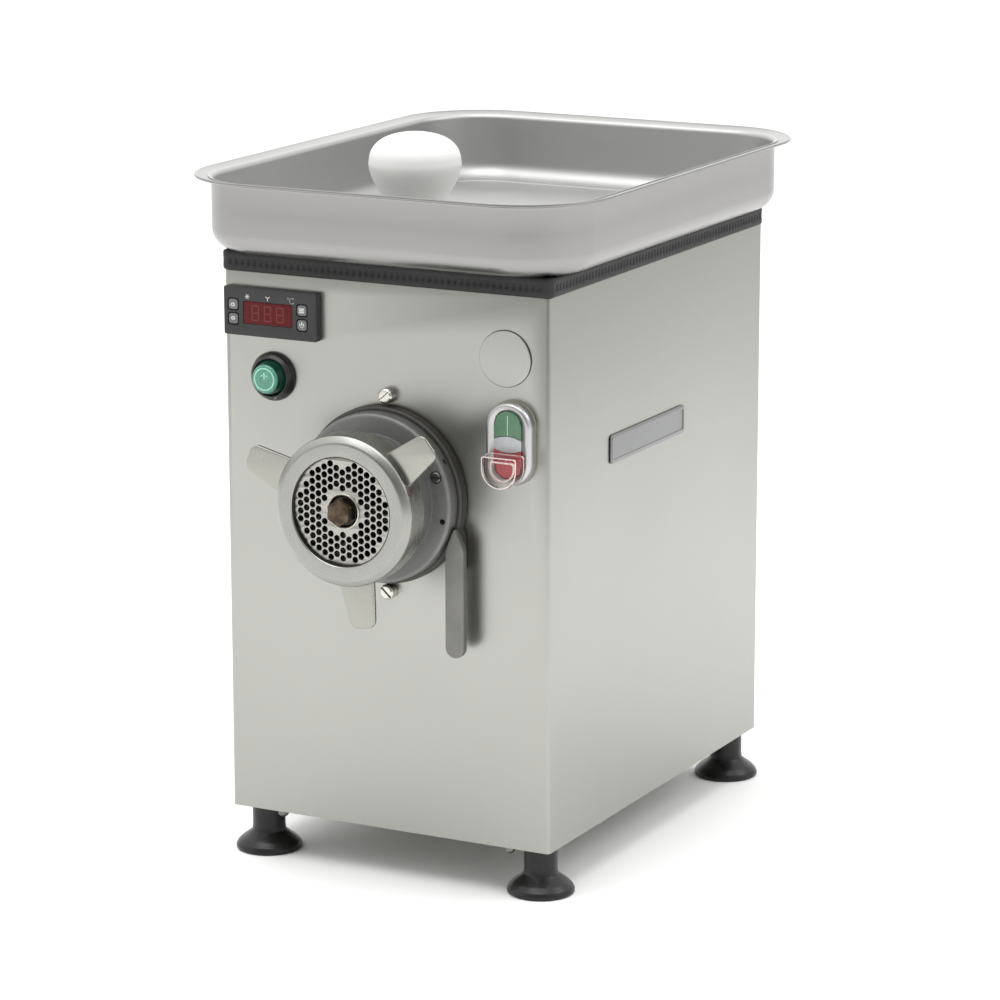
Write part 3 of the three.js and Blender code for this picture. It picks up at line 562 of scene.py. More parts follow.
def ringed(name, corners, x, other, upright=False, steps=96, ease=4):
    """A turned ring: a closed section with eased corners, swept round its axis."""
    return turned(name, eased(corners, True, ease), x, other, upright, steps, True)


spigot = ringed("tray_spigot", [(26.8, 429.1), (26.8, 414.5), (28.4, 414.5, 0.6), (28.4, 428.6)],
                HEAD_X, THROAT_Y, True)
dress(spigot, shaded_round_grain, "tray", "tray_steel")
def smooth(points, steps=6):
    """A soft curve through points (Catmull-Rom)."""
    ends = [points[0]] + points + [points[-1]]
    out = []
    for a, b, c, d in zip(ends, ends[1:], ends[2:], ends[3:]):
        for k in range(steps):
            t = k / steps
            out.append(tuple(0.5 * (2 * q + (r - p) * t + (2 * p - 5 * q + 4 * r - s) * t * t
                                    + (3 * q - p - 3 * r + s) * t ** 3)
                             for p, q, r, s in zip(a, b, c, d)))
    return out + [points[-1]]


KNOB_LINE = smooth([
    (22, 438.5), (18.9, 444), (18.5, 452), (20, 462), (23.6, 470.8), (26.4, 475.4), (28.3, 479.2),
    (29.7, 482.8), (30.8, 486.6), (31.3, 490), (31.0, 493.4), (30.4, 496.6), (29.0, 500.0),
    (26.6, 503.2), (23.6, 505.7), (19.6, 507.9), (14.0, 509.8), (7.0, 511.1), (0, 511.4)])
PUSHER_LINE = eased([
    (0, 374), (22.5, 374, 2), (24, 378, 2), (24, 428, 1), (24, 430.2), (33.4, 430.1, 0.8),
    (34, 431.9, 0.8), (33, 434.8, 1.2), (26, 436.6, 3)]) + KNOB_LINE
pusher = turned("mushroom_pusher", PUSHER_LINE, HEAD_X, THROAT_Y, True, 96)
# Polyethylene: waxy white with a soft inner glow, and a few faint scratches near 1 mm apart.
poly, shader = substance("white polyethylene", {
    "Subsurface Weight": 0.6, "Subsurface Radius": (0.008, 0.008, 0.007), "IOR": 1.51,
})
scuff = cloud(poly, 700.0, 3.0)
feed(poly, shader, Base_Color=blend(poly, cloud(poly, 30.0, 3.0), "#dededc", "#e8e8e7"),
     Roughness=ramp(poly, scuff, 0.38, 0.52), Normal=emboss(poly, scuff, 0.06, 0.0002))
dress(pusher, poly, "pusher", "white_plastic", "pusher")


# ---- Feed neck and head socket -----------------------------------------------------------------
# A welded tube leads from the tray down into the cast socket, which the head slides into. Both are
# seen only with the tray off or the head out. The casting is bead-blasted, so it is grey and matt.
neck = ringed("neck_tube", [(28.9, 300), (28.9, 427.6, 0.5), (31, 427.6, 0.5), (31, 300)],
              HEAD_X, THROAT_Y, True)
carve(neck, [drill(HEAD_X, HEAD_Z, 45.2, -20, 110, 96)])
dress(neck, upright_grain, "cabinet", "satin_steel", "feed_neck")


def blasted_casting(name, tone, grit=0.9, depth=0.35):
    """Bead-blasted stainless casting: even grey, no clear reflection, a sandy skin. Real grit marks
    are about 0.2 mm, drawn at grit mm to show."""
    mat, shader = substance(name, {"Metallic": 1.0})
    sand = cloud(mat, 1000 / grit, 4.0, 0.7)
    feed(mat, shader, Base_Color=blend(mat, sand, tone, tone, 0.72),
         Roughness=ramp(mat, cloud(mat, 45.0, 4.0), 0.5, 0.64), Normal=emboss(mat, sand, depth, 0.0004))
    return mat


casting = blasted_casting("bead-blasted stainless casting", "#a9a9a6")
socket = ringed("socket_casting", [
    (45.2, -9.1, 0.6), (52.4, -9.1, 0.6), (52.4, 88, 1), (17, 88, 0.5), (17, 84.6, 0.5), (45.2, 84.6, 1),
], HEAD_X, HEAD_Z, steps=112)
carve(socket, [drill(HEAD_X, THROAT_Y, 31.3, 280, 360, 96, True)])
dress(socket, casting, "cabinet", "cast_steel", "head_socket")


# ---- Lock ring, lever and flange screws --------------------------------------------------------
# The lock ring turns on the socket's nose and clamps the head; its lever is a flat bar cast with a
# pointed root. Two big slotted nickel-plated screws hold the socket through the panel.
ring = ringed("lock_ring_casting", [
    (52.8, -9.2, 0.4), (60.9, -9.2, 1.6), (61, -0.8, 0.6), (52.8, -0.8, 0.4),
], HEAD_X, HEAD_Z, steps=128)
lug_line = [(HEAD_X + x, HEAD_Z + z) for x, z in
            ((50, -18), (58, -15), (60.6, -24), (60.6, -46), (53, -46), (48, -40))]
carve(ring, [slab("lug", [lug_line], -9.2, -0.8, 0.4)], "UNION")
carve(ring, [drill(HEAD_X, HEAD_Z, 52.8, -15, 5, 128)])
# A far darker tone than the bell's: painted shade on the ring, which sits behind the bell's rim.
shaded_ring_casting = blasted_casting("bead-blasted ring, darkened as painted shade", "#5f5e5b", 0.9, 0.45)
dress(ring, shaded_ring_casting, "lock", "cast_steel", "lock_ring")

bar_line = ([(59.2, -17.2), (58.0, -16.2), (56.9, -17.2), (51.9, -29.6), (51.3, -32.6)]
            + arc(58.25, -97.9, 6.95, 180, 360, 14) + [(65.2, -31.6), (64.4, -28.0)])
lever = slab("lever_bar", [[(HEAD_X + x, HEAD_Z + z) for x, z in bar_line]], -15.2, -9.5, 1.1, rounds=4)
coarse = blasted_casting("sand-cast bar, lightly ground", "#8e8e88", 1.3, 0.45)
dress(lever, coarse, "lock", "cast_steel", "lock_lever")

# Nickel plate: bright and slightly warm, with turning marks too fine to see.
nickel = patterned("nickel-plated steel", {"Metallic": 1.0, "Base Color": linear("#c9c7bf")}, 800.0, 3.0,
                   gloss=(0.10, 0.26))
for name, side in (("top", 1), ("bottom", -1)):
    z = HEAD_Z + side * SCREW_R
    screw = turned("slotted_screw_" + name, eased([
        (0, -7), (4.0, -6.9, 1), (5.3, -5.7, 1), (5.4, -0.3, 0.2), (3, -0.3), (3, 8), (0, 8),
    ]), SCREW_X, z, steps=48)
    slot_cut = block("cut", -8, 8, -9, -5.4, -0.75, 0.75)
    carry(slot_cut, Matrix.Rotation(-0.75 * side, 4, "Y"), (0, 0, 0), (SCREW_X, 0, z))
    carve(screw, [slot_cut])
    dress(screw, nickel, "cabinet", "polished_steel", "flange_screw_" + name)


# ---- Head casting ------------------------------------------------------------------------------
# One stainless casting: the barrel that carries the worm, and a bell in front of the socket whose
# face holds a small locating screw and tapped holes. Blasted all over, so it is grey and sandy.
head = ringed("head_casting", [
    (41.4, -56.2, 0.4), (44.6, -56.2, 0.8), (44.6, -20.2, 0.4), (58.2, -20.2, 2.8),
    (58.2, -9.5, 0.8), (44.6, -9.5, 0.5), (44.6, 84, 1), (12, 84, 0.5), (12, 78, 0.5), (33.6, 78, 1),
    (33.6, -45.2, 0.5), (41.4, -45.2, 0.3),
], HEAD_X, HEAD_Z, steps=144)
SMALL_HOLES = [(52.3, -10.2, 2.0), (-30, 41, 1.6), (-20, -46, 1.6)]
BELL_SCREW = (HEAD_X + 47.5, HEAD_Z + 19.5)
side_hole = block("cut", HEAD_X + 52.5, HEAD_X + 62, -14.4, -10.9, HEAD_Z - 1.8, HEAD_Z + 1.8)
axis = (HEAD_X, 0, HEAD_Z)
carry(side_hole, Matrix.Rotation(math.radians(-30), 4, "Y"), axis, axis)
feed_mouth = drill(HEAD_X, THROAT_Y, 28.0, 290, 350, 96, True)
notch = block("cut", HEAD_X + 42.0, HEAD_X + 46.4, -42.4, -36.0, HEAD_Z - 5, HEAD_Z + 6)
carve(head, [drill(HEAD_X + x, HEAD_Z + z, r, -24, -13, 20) for x, z, r in SMALL_HOLES]
      + [drill(*BELL_SCREW, 4.3, -21.5, -18.2, 32), side_hole, feed_mouth, notch])
bell_skin = blasted_casting("bead-blasted bell", "#8f8f8e", 1.3, 0.6)
dress(head, bell_skin, "head", "cast_steel", "head_barrel")


def turned_steel(name, tone, rough, groove=0.9):
    """Stainless faced on a lathe: rings round the head's axis, drawn groove mm apart, sharp
    reflections broken by a little wear."""
    mat, shader = substance(name, {"Metallic": 1.0})
    place = node(mat, "ShaderNodeTexCoord").outputs["Object"]
    centred = node(mat, "ShaderNodeMapping", {
        "Vector": place, "Location": (-HEAD_X / 1000, 0, -HEAD_Z / 1000), "Scale": (1, 0, 1)})
    reach = node(mat, "ShaderNodeVectorMath", {0: centred.outputs[0]}, operation="LENGTH")
    depth = node(mat, "ShaderNodeSeparateXYZ", {0: place})
    walk = node(mat, "ShaderNodeMath", {0: reach.outputs["Value"], 1: depth.outputs[1]},
                operation="SUBTRACT")
    step = node(mat, "ShaderNodeMath", {0: walk.outputs[0], 1: 1000 / groove}, operation="MULTIPLY")
    rings = node(mat, "ShaderNodeTexNoise", {"W": step.outputs[0], "Scale": 1.0, "Detail": 3.0},
                 noise_dimensions="1D").outputs[0]
    wear = ramp(mat, cloud(mat, 60.0, 4.0), -0.03, 0.05, 0.35, 0.65)
    gloss = node(mat, "ShaderNodeMath",
                 {0: ramp(mat, rings, rough - 0.04, rough + 0.05), 1: wear}, operation="ADD")
    feed(mat, shader, Base_Color=blend(mat, rings, tone, tone, 0.9), Roughness=gloss.outputs[0],
         Normal=emboss(mat, rings, 0.02, 0.0001))
    return mat


polished = turned_steel("stainless, turned and polished", "#9e9e99", 0.27)
pin = turned("bell_screw", eased([
    (0, -20.9), (3.0, -20.9, 0.6), (3.5, -20.3, 0.3), (3.5, -18.7), (0, -18.7)]), *BELL_SCREW, steps=32)
carve(pin, [block("cut", HEAD_X + 43, HEAD_X + 52, -22, -19.6, HEAD_Z + 18.8, HEAD_Z + 20.2)])
# The darker zinc paints the recess's shade onto this screw.
dress(pin, shaded_zinc, "head", "cast_steel")


# ---- Ring nut ----------------------------------------------------------------------------------
# Turned from stainless bar and polished, with three flat wings welded on behind the front edge.
# The face shows fine lathe rings; the wings are plain sheet, bright on their edges.
nut = ringed("ring_nut_body", [
    (37.2, -64.6, 0.3), (37.8, -65.2, 0.5), (46.6, -65.2, 3.4), (51.3, -61.6, 3.4), (51.5, -55, 3),
    (51.5, -43.6, 1), (50.7, -42.7, 0.6), (45.2, -42.7, 0.4), (45.2, -62.0, 0.3), (37.2, -62.0, 0.3),
], HEAD_X, HEAD_Z, steps=160, ease=5)
dress(nut, polished, "nut", "polished_steel", "ring_nut")
# The bore behind the lip is lined with a dark turned ring: painted shade on the lip's inner wall.
gap_shade_steel = turned_steel("as-turned steel, darkened as painted shade", "#3b3a37", 0.42, 1.2)
bore = ringed("ring_nut_bore_shade", [(36.7, -64.3, 0.1), (37.25, -64.3, 0.1), (37.25, -62.0), (36.7, -62.0)],
              HEAD_X, HEAD_Z, steps=160)
dress(bore, gap_shade_steel, "nut", "polished_steel")
WING_LINE = [(46, -13.6)] + arc(74.6, -3.9, 6.0, -80, 0, 8) + arc(74.6, 3.9, 6.0, 0, 80, 8) + [(46, 13.6)]
wing_sheet = brushed_stainless("stainless wing, polished", (14.0, 14.0, 0.9), "#9f9f98", 0.29)
for i, angle in enumerate((38.5, 158.5, 278.5)):
    c, s = math.cos(math.radians(angle)), math.sin(math.radians(angle))
    line = [(HEAD_X + x * c - z * s, HEAD_Z + x * s + z * c) for x, z in WING_LINE]
    wing = slab(f"ring_nut_wing_{i + 1}", [line], -57.0, -53.8, 0.9, rounds=3)
    dress(wing, wing_sheet, "nut", "polished_steel")


# ---- Cutting plate, worm stub and knife --------------------------------------------------------
# The plate is hardened steel, ground flat and drilled on a triangular grid; it seats in the barrel.
# The worm's bronze-coloured hexagonal end turns in its middle hole, and the knife runs behind it.
PITCH, HOLE_R = 5.3, 2.15
grid = []
for i in range(-7, 8):
    for j in range(-7, 8):
        x, z = i * PITCH * math.sqrt(0.75), (j + (abs(i) % 2) / 2) * PITCH
        if 15.2 < math.hypot(x, z) < 34.4 and not (i == 0 and z > 31):
            grid.append((x, z))
plate_line = [arc(HEAD_X, HEAD_Z, 41, 0, 357, 119), arc(HEAD_X, HEAD_Z, 11.4, 0, 354, 59)]
plate_line += [arc(HEAD_X + x, HEAD_Z + z, HOLE_R, 0, 340, 17) for x, z in grid]
plate = slab("drilled_plate", plate_line, -61.7, -53.7, 0.22, rounds=1)
ground = turned_steel("ground plate steel", "#a9a8a2", 0.31, 0.7)
dress(plate, ground, "plate", "polished_steel", "cutting_plate")
bush = ringed("plate_bush", [
    (10.6, -61.4, 0.3), (11.6, -62.1, 0.5), (12.3, -61.7, 0.3), (11.8, -61.0), (11.3, -54), (10.6, -54),
], HEAD_X, HEAD_Z, steps=72)
dress(bush, nickel, "plate", "polished_steel")

# Worn bronze: brown, darker in patches, bright where it rubs.
bronze, shader = substance("worn bronze", {"Metallic": 1.0})
patina = cloud(bronze, 160.0, 5.0)
patches = ramp(bronze, patina, 0.0, 1.0, 0.38, 0.62)
feed(bronze, shader, Base_Color=blend(bronze, patches, "#473e33", "#625647"),
     Roughness=ramp(bronze, patina, 0.5, 0.36), Normal=emboss(bronze, patina, 0.15, 0.0004))


ACROSS_FLATS = 15.8
hexagon = arc(HEAD_X, HEAD_Z, ACROSS_FLATS / math.sqrt(3), 30, 330, 5)
stub = slab("worm_hexagon", [hexagon], -68.7, -46.3, 0.7, rounds=3)
crown = turned("worm_hexagon_crown", eased([
    (0, -69), (6.4, -69, 0.4), (7.6, -68.1, 0.4), (7.6, -66.5), (0, -66.5)]), HEAD_X, HEAD_Z, steps=48)
collar = turned("worm_journal", eased([
    (0, -60.2), (9.6, -60.2, 0.5), (10.2, -59.4, 0.5), (10.2, -53.7), (0, -53.7)]),
    HEAD_X, HEAD_Z, steps=64)
dress(stub, bronze, "worm", "bronze", "worm_stub")
dress(crown, bronze, "worm", "bronze")
# The journal takes the same darkened steel: painted shade in the gap inside the plate's bush.
dress(collar, gap_shade_steel, "worm", "bronze")
coat(casting, "knife", "feed_worm")


# ---- Thermostat --------------------------------------------------------------------------------
# A snap-in controller in black fine-textured plastic, with a dark red window over unlit digits and
# four grey keys in wells. Its legends are plain signs printed in white.
def textured_plastic(name, dark, light, rough=0.45, grain=0.7, depth=0.12):
    """Moulded plastic with a spark-eroded skin: a soft broken sheen. Real grain is about 0.1 mm,
    drawn at grain mm."""
    mat, shader = substance(name, {"IOR": 1.5, "Specular IOR Level": 0.5})
    skin = cloud(mat, 1000 / grain, 3.0)
    feed(mat, shader, Base_Color=blend(mat, cloud(mat, 60.0), dark, light),
         Roughness=ramp(mat, skin, rough - 0.07, rough + 0.07), Normal=emboss(mat, skin, depth, 0.0002))
    return mat


KEYS = {"key_up": (-28.8, 4.4), "key_down": (-28.8, -5.5), "key_set": (25.0, 4.2),
        "key_standby": (25.0, -5.9)}
PANE_X, PANE_Z = THERMO_X - 1.7, THERMO_Z - 0.55
black = textured_plastic("black ABS, fine texture", "#212222", "#2b2c2c")
face_line = round_rect(72.4, 33.4, 1.4, THERMO_X, THERMO_Z)
wells = [round_rect(8.6, 8.6, 2.2, THERMO_X + x, THERMO_Z + z) for x, z in KEYS.values()]
face = slab("thermostat_face", [face_line, round_rect(38.4, 15.5, 0.8, PANE_X, PANE_Z)] + wells,
            -6.1, -2.6, 0.45, rounds=4)
carve(face, [
    slab("back", [face_line], -3.2, -0.3, 0.3),
    block("box", THERMO_X - 34, THERMO_X + 34, -1, 52, THERMO_Z - 14, THERMO_Z + 14),
], "UNION")
dress(face, black, "cabinet", "black_plastic", "thermostat_case")

# Tinted acrylic over the digits: deep red, glossy.
tint = patterned("dark red acrylic", {"IOR": 1.49, "Specular IOR Level": 0.22}, 120.0,
                 tones=("#430507", "#640d0f"), gloss=(0.14, 0.24))
pane = slab("display_pane", [round_rect(38.0, 15.1, 0.6, PANE_X, PANE_Z)], -5.7, -5.0, 0.1)
dress(pane, tint, "cabinet", "display_red", "thermostat_window")

# Unlit segments: slightly lighter strokes, flush with the pane.
ghost = patterned("unlit display segment", {"Roughness": 0.35, "IOR": 1.49}, 300.0,
                  tones=("#611416", "#741c1e"))


def strokes(name, lines, width, y0, y1):
    """Thin flat strokes between pairs of (x, z) points, one mesh."""
    points, faces = [], []
    for start, end in lines:
        start, end = Vector(start), Vector(end)
        along = (end - start).normalized() * (width / 2)
        side = Vector((-along.y, along.x))
        corners = (start - along + side, start - along - side, end + along - side, end + along + side)
        first = len(points)
        points += [(u, y, v) for y in (y0, y1) for u, v in corners]
        faces += [tuple(first + k for k in f) for f in
                  ((0, 1, 2, 3), (7, 6, 5, 4), (0, 4, 5, 1), (1, 5, 6, 2), (2, 6, 7, 3), (3, 7, 4, 0))]
    return build(name, points, faces)


segments = []
for k in range(3):
    cx, w, h = THERMO_X - 11.6 + 9.6 * k, 2.5, 5.0
    for low, high in ((0.4, h), (-h, -0.4)):
        segments += [((x, PANE_Z + low), (x, PANE_Z + high)) for x in (cx - w, cx + w)]
    segments += [((cx - w + 0.6, PANE_Z + z), (cx + w - 0.6, PANE_Z + z)) for z in (-h, 0, h)]
dress(strokes("display_segments", segments, 0.85, -5.76, -5.6), ghost, "cabinet", "display_red")

grey_key = textured_plastic("grey moulded key", "#5e5f60", "#747576", 0.5, 0.6, 0.2)
for name, (x, z) in KEYS.items():
    key_line = round_rect(7.2, 7.2, 2.0, THERMO_X + x, THERMO_Z + z)
    key = slab(name + "_cap", [key_line], -6.4, -4.6, 0.7, rounds=4)
    dress(key, grey_key, name, "grey_key", name)

# White print: slightly uneven ink.
ink = patterned("white printed ink", {"Roughness": 0.6}, 900.0, tones=("#b8b8b6", "#e6e6e4"))
legends = {
    "key_up": [((-1.9, -1.0), (0, 1.3)), ((0, 1.3), (1.9, -1.0)), ((-1.9, -1.0), (1.9, -1.0))],
    "key_down": [((-1.9, 1.0), (0, -1.3)), ((0, -1.3), (1.9, 1.0)), ((-1.9, 1.0), (1.9, 1.0))],
    "key_set": [((-1.6, -1.2), (1.6, -1.2)), ((-1.6, 0), (1.6, 0)), ((-1.6, 1.2), (1.6, 1.2))],
    "key_standby": [((0, 0.3), (0, 1.9)), ((-1.4, 0.8), (-1.5, -0.6)), ((-1.5, -0.6), (0, -1.6)),
                    ((0, -1.6), (1.5, -0.6)), ((1.5, -0.6), (1.4, 0.8))],
}
for name, lines in legends.items():
    x, z = KEYS[name]
    moved = [((THERMO_X + x + a, THERMO_Z + z + b), (THERMO_X + x + c, THERMO_Z + z + d))
             for (a, b), (c, d) in lines]
    dress(strokes(name + "_mark", moved, 0.8, -6.48, -6.3), ink, name, "grey_key")
# Over the window: a frost star, a fan and the degree sign with its C.
star_x, fan_x, unit_x, mark_z = THERMO_X - 17.6, THERMO_X - 1.6, THERMO_X + 16.0, THERMO_Z + 10.4
marks = []
for k in range(3):
    a = math.radians(60 * k)
    marks.append(((star_x - 1.5 * math.cos(a), mark_z - 1.5 * math.sin(a)),
                  (star_x + 1.5 * math.cos(a), mark_z + 1.5 * math.sin(a))))
    a = math.radians(120 * k + 30)
    marks.append(((fan_x + 0.3 * math.cos(a), mark_z + 0.3 * math.sin(a)),
                  (fan_x + 1.6 * math.cos(a), mark_z + 1.6 * math.sin(a))))
bend = [(unit_x + 1.4 + 1.7 * math.cos(math.radians(a)), mark_z - 0.3 + 1.9 * math.sin(math.radians(a)))
        for a in range(50, 311, 26)]
dot = arc(unit_x - 1.5, mark_z + 1.3, 0.6, 0, 360, 6)
marks += list(zip(bend, bend[1:])) + list(zip(dot, dot[1:]))
dress(strokes("thermostat_print", marks, 0.5, -6.18, -6.0), ink, "cabinet", "black_plastic")


# ---- Illuminated power button ------------------------------------------------------------------
# A black collar snapped through the panel round a translucent green cap with a printed ring and sign.
# The cap is clear-tinted; its skirt is given a darker green than its face, as painted shade.
power_collar = ringed("power_collar", [
    (12.7, -6.6, 0.4), (13.7, -6.7, 0.5), (15.6, -4.6, 1.4), (16.9, -1.8, 1), (16.9, -0.3, 0.2),
    (13, -0.3), (13, 28), (10.3, 28), (10.3, 4), (12.7, -0.5)], POWER_X, POWER_Z, steps=72)
dress(power_collar, textured_plastic("black polyamide, satin", "#1d1c1a", "#2b2a28", 0.34, 0.8, 0.06),
      "cabinet", "black_plastic", "power_bezel")
tick = [(POWER_X + x, POWER_Z + z) for x, z in ((2.4, -13.3), (3.8, -14.2), (5.6, -12.6))]
dress(strokes("collar_tick", list(zip(tick, tick[1:])), 0.5, -6.2, -5.6), ink, "cabinet", "black_plastic")

# Green polycarbonate: light sinks in a little, so it looks lit from inside.
jelly = patterned("translucent green polycarbonate", {
    "Transmission Weight": 0.12, "IOR": 1.58, "Subsurface Weight": 0.2,
    "Subsurface Radius": (0.001, 0.004, 0.003),
}, 220.0, 3.0, ("#44917a", "#5fa78f"), (0.16, 0.3))
cap = turned("power_cap", eased([
    (0, -13.6), (8.9, -13.4, 1), (9.9, -12.4, 0.4), (9.9, -12.0), (9.2, -11.9), (9.2, 8), (0, 8)]),
    POWER_X, POWER_Z, steps=72)
dress(cap, jelly, "power", "teal_lens", "power_button")
# The skirt is a darker copy of the cap's green: painted shade.
skirt = ringed("power_skirt", [
    (9.4, -12.2), (10.0, -12.2, 0.3), (12.2, -5.2, 0.4), (12.2, -4.5), (9.4, -4.5)],
    POWER_X, POWER_Z, steps=72)
dress(skirt, textured_plastic("green polycarbonate, glossy, darkened as painted shade", "#0c3227", "#16483a", 0.2, 0.8, 0.04),
      "power", "teal_lens")
rims = [arc(POWER_X, POWER_Z, radius, 0, 354, 59) for radius in (7.9, 7.0)]
ring_mark = slab("power_ring_mark", rims, -13.68, -13.3, 0.05, rounds=1)
# Printed symbol: pale green-white, slightly uneven.
pale = patterned("pale printed symbol", {"Roughness": 0.4}, 500.0, tones=("#8fcdb6", "#b9e2d2"))
dress(ring_mark, pale, "power", "teal_lens")
loop = arc(POWER_X, POWER_Z, 3.1, 125, 415, 10)
sign = list(zip(loop, loop[1:])) + [((POWER_X, POWER_Z + 0.6), (POWER_X, POWER_Z + 4.0))]
dress(strokes("power_sign", sign, 1.0, -13.7, -13.4), pale, "power", "teal_lens")


# ---- Dual push-button --------------------------------------------------------------------------
# A silver oblong collar holds a flush green start button, a frosted pilot lens and a projecting red
# stop button under a clear soft cover. The collar is chromed plastic with a satin top coat.
# Satin chrome on plastic: a soft silver gleam with no sharp reflection.
silver = patterned("satin-chromed plastic", {"Metallic": 1.0, "Base Color": linear("#b9b9b9")},
                   650.0, 3.0, gloss=(0.32, 0.36))
# The collar's outline from back to front and down into its window: width, height and y.
COLLAR_LINE = ((22, 22, 42), (22, 22, -0.3), (33.4, 56.8, -0.3), (33.8, 57.2, -0.8), (33.8, 57.2, -5.2),
               (33.2, 56.6, -7.0), (31.8, 55.2, -8.5), (29.8, 53.2, -9.3), (27.6, 51.0, -9.4),
               (24.8, 48.2, -9.0), (22.4, 46.6, -8.4), (20.9, 45.9, -8.0), (20.6, 45.6, -7.4),
               (20.6, 45.6, -1.4))
oblong = loft("switch_collar", [
    [(x, y, z) for x, z in round_rect(w, h, min(w, h) / 2 - 0.01, SWITCH_X, SWITCH_Z, 14)]
    for w, h, y in COLLAR_LINE], 40)
dress(oblong, silver, "cabinet", "chromed_plastic", "switch_bezel")
seal = slab("switch_gasket", [round_rect(34.4, 57.8, 17.1, SWITCH_X, SWITCH_Z, 14),
                              round_rect(31, 54, 15.4, SWITCH_X, SWITCH_Z, 14)], -1.2, -0.1, 0.3)
# Neoprene: dull, with fine closed cells. Its drab warm grey is painted shade round the collar's foot.
gasket = patterned("neoprene gasket, grey as painted shade", {"Specular IOR Level": 0.3}, 900.0,
                   tones=("#8b8877", "#a3a08e"), gloss=(0.6, 0.8))
dress(seal, gasket, "cabinet", "black_rubber")


def window_slice(edge_low, edge_high):
    """Part of the oblong window between two bowed edges, each (height at the sides, at the middle)."""
    half, tall, steps = 10.1, 22.6, 12
    top, bottom = [], []
    for k in range(steps + 1):
        x = half - 2 * half * k / steps
        limit = tall - half + math.sqrt(max(half * half - x * x, 0))
        for out, pair, sign in ((top, edge_high, 1), (bottom, edge_low, -1)):
            if pair is None:
                out.append((SWITCH_X + x, SWITCH_Z + sign * limit))
            else:
                bow = (pair[1] - pair[0]) * (1 - (x / half) ** 2)
                out.append((SWITCH_X + x, SWITCH_Z + pair[0] + bow))
    return top + bottom[::-1]


start_green = textured_plastic("green polyamide", "#4d7257", "#5c8066", 0.3, 0.8, 0.05)
start = slab("start_cap", [window_slice((3.6, 5.9), None)], -8.8, -5.0, 0.5, rounds=3)
dress(start, start_green, "start", "green_plastic", "start_button")
start_line = [((SWITCH_X, SWITCH_Z + 6.5), (SWITCH_X, SWITCH_Z + 19.5))]
dress(strokes("start_sign", start_line, 0.55, -8.88, -8.6), pale, "start", "green_plastic")

# Frosted polycarbonate: cloudy and pale, with a faint clear gloss over it.
frosted = patterned("frosted pilot lens", {
    "IOR": 1.5, "Transmission Weight": 0.2, "Coat Weight": 0.3, "Coat Roughness": 0.1, "Roughness": 0.28,
}, 600.0, tones=("#bfc3c6", "#d2d5d7"))
lens = slab("pilot_window", [window_slice((-3.3, -5.6), (3.3, 5.6))], -8.7, -1.7, 0.4, rounds=3)
dress(lens, frosted, "cabinet", "clear_lens", "pilot_lens")

stop_red = textured_plastic("red polyamide", "#a23f43", "#b4494e", 0.3, 0.8, 0.05)
stop = slab("stop_cap", [window_slice(None, (-3.6, -5.9))], -9.2, -5.0, 0.5, rounds=3)
dress(stop, stop_red, "stop", "red_plastic", "stop_button")
nose_line = (arc(SWITCH_X - 4.9, SWITCH_Z - 11.1, 1.3, 180, 90, 4)
             + arc(SWITCH_X + 4.9, SWITCH_Z - 11.1, 1.3, 90, 0, 4)
             + arc(SWITCH_X, SWITCH_Z - 14.2, 6.2, 0, -180, 16))
nose = slab("stop_nose", [nose_line[::-1]], -14, -8.8, 1.0, rounds=4)
dress(nose, stop_red, "stop", "red_plastic")

# Clear silicone: thin, soft, milky at its edges.
silicone = patterned("clear silicone", {
    "Transmission Weight": 1.0, "IOR": 1.16, "Base Color": linear("#fbf9f8")}, 350.0, gloss=(0.02, 0.06))


def boot_line(inset):
    """The soft cover's outline, flat on top and round below."""
    w = 13.5 - inset
    top, low = SWITCH_Z - 5.6 - inset, SWITCH_Z - 28.0 + inset
    return (arc(SWITCH_X - w + 1.5, top - 1.5, 1.5, 180, 90, 4)
            + arc(SWITCH_X + w - 1.5, top - 1.5, 1.5, 90, 0, 4)
            + arc(SWITCH_X, low + w, w, 0, -180, 20))


# From the inside of the front, back to the collar, and forward again on the outside: inset and y.
BOOT_SECTION = ((5.0, -20.5), (3.0, -20.3), (1.4, -18.8), (1.1, -9.8), (0.0, -9.8), (0.2, -19.0),
                (1.2, -21.0), (3.2, -21.7), (5.0, -21.8))
boot = loft("stop_boot", [[(x, y, z) for x, z in boot_line(inset)] for inset, y in BOOT_SECTION], 60)
dress(boot, silicone, "cabinet", "clear_silicone", "stop_cover")
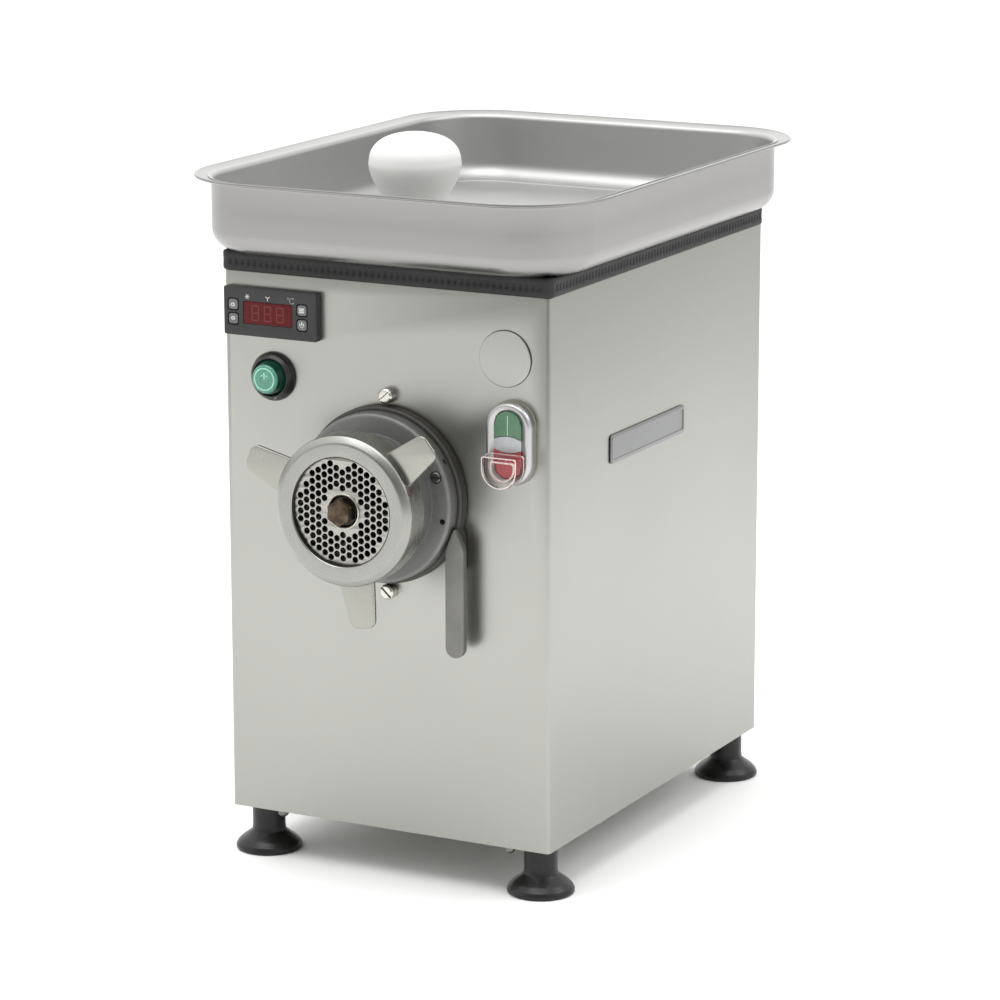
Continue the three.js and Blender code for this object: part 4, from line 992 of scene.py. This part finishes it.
# Ribs moulded into the cover: milky, because the rubber is thicker there.
milky = patterned("milky silicone rib", {"IOR": 1.41, "Transmission Weight": 0.15}, 400.0,
                  tones=("#e8d6d0", "#f8ece8"), gloss=(0.2, 0.34))
RIBS = (("front", 0.6, 0.7, -22.0), ("root", 0.2, 1.0, -11.4), ("inner", 4.4, 1.2, -16.6))
for name, inset, wide, y in RIBS:
    rib = slab("boot_rib_" + name, [boot_line(inset)[::-1], boot_line(inset + wide)[::-1]],
               y, y + 0.7, 0.15, rounds=1)
    dress(rib, milky, "cabinet", "clear_silicone")


# ---- Blanking disc and cable gland -------------------------------------------------------------
# A flat stainless disc closes the spare control hole; the gland is black polyamide with a dome nut.
blank = turned("blanking_cap", eased([
    (0, -1.5), (18.6, -1.5, 0.4), (19, -1.1, 0.3), (19, -0.3), (14.7, -0.3), (14.7, 5), (0, 5)]),
    DISC_X, DISC_Z, steps=96)
dress(blank, upright_grain, "cabinet", "satin_steel", "blanking_disc")
# A hair of black ring round the disc's edge, moved 0.12 mm right and up: painted shadow along the edge.
disc_shadow_ring = ringed("blanking_disc_shadow_ring", [(18.2, -0.35), (19.25, -0.35), (19.25, -0.05), (18.2, -0.05)],
                  DISC_X + 0.12, DISC_Z + 0.12)
dress(disc_shadow_ring, rubber, "cabinet", "black_rubber")
gland = ringed("gland_body", [
    (4, 331, 0.3), (10, 331, 0.3), (10, 337.7), (7.7, 337.7), (7.7, 339.8), (10.8, 339.8, 0.3),
    (11, 341, 0.3), (11, 345.6, 1), (8.8, 347, 1), (8.2, 350, 2), (6.8, 353.6, 1.2),
    (4.4, 354, 0.3), (4, 353.6, 0.2),
], 92, 190, steps=48)
dress(gland, black, "cabinet", "black_plastic", "cable_gland")


# ---- Hidden machinery --------------------------------------------------------------------------
# The gear train, motor and refrigeration parts sit inside the closed cabinet. They keep their CAD
# shapes and share the finishes nearest to their own: cast aluminium, oiled steel, brown metal, black.
aluminium = blasted_casting("sand-cast aluminium", "#b4b6b8", 1.6, 0.5)
oiled = turned_steel("oiled gear steel", "#8e8f92", 0.3, 1.4)
HIDDEN = {
    aluminium: ("gearbox_case", "gearbox_cover", "motor_shell", "motor_stand", "condenser", "fan_motor"),
    oiled: ("output_shaft", "output_gear", "middle_shaft", "middle_gear", "motor_rotor", "motor_stator",
            "output_bearing"),
    rubber: ("shaft_seal",),
    black: ("motor_fan", "condenser_fan", "compressor"),
    bronze: ("evaporator_coil",),
    poly: ("capacitor",),
}
for mat, names in HIDDEN.items():
    coat(mat, *names)
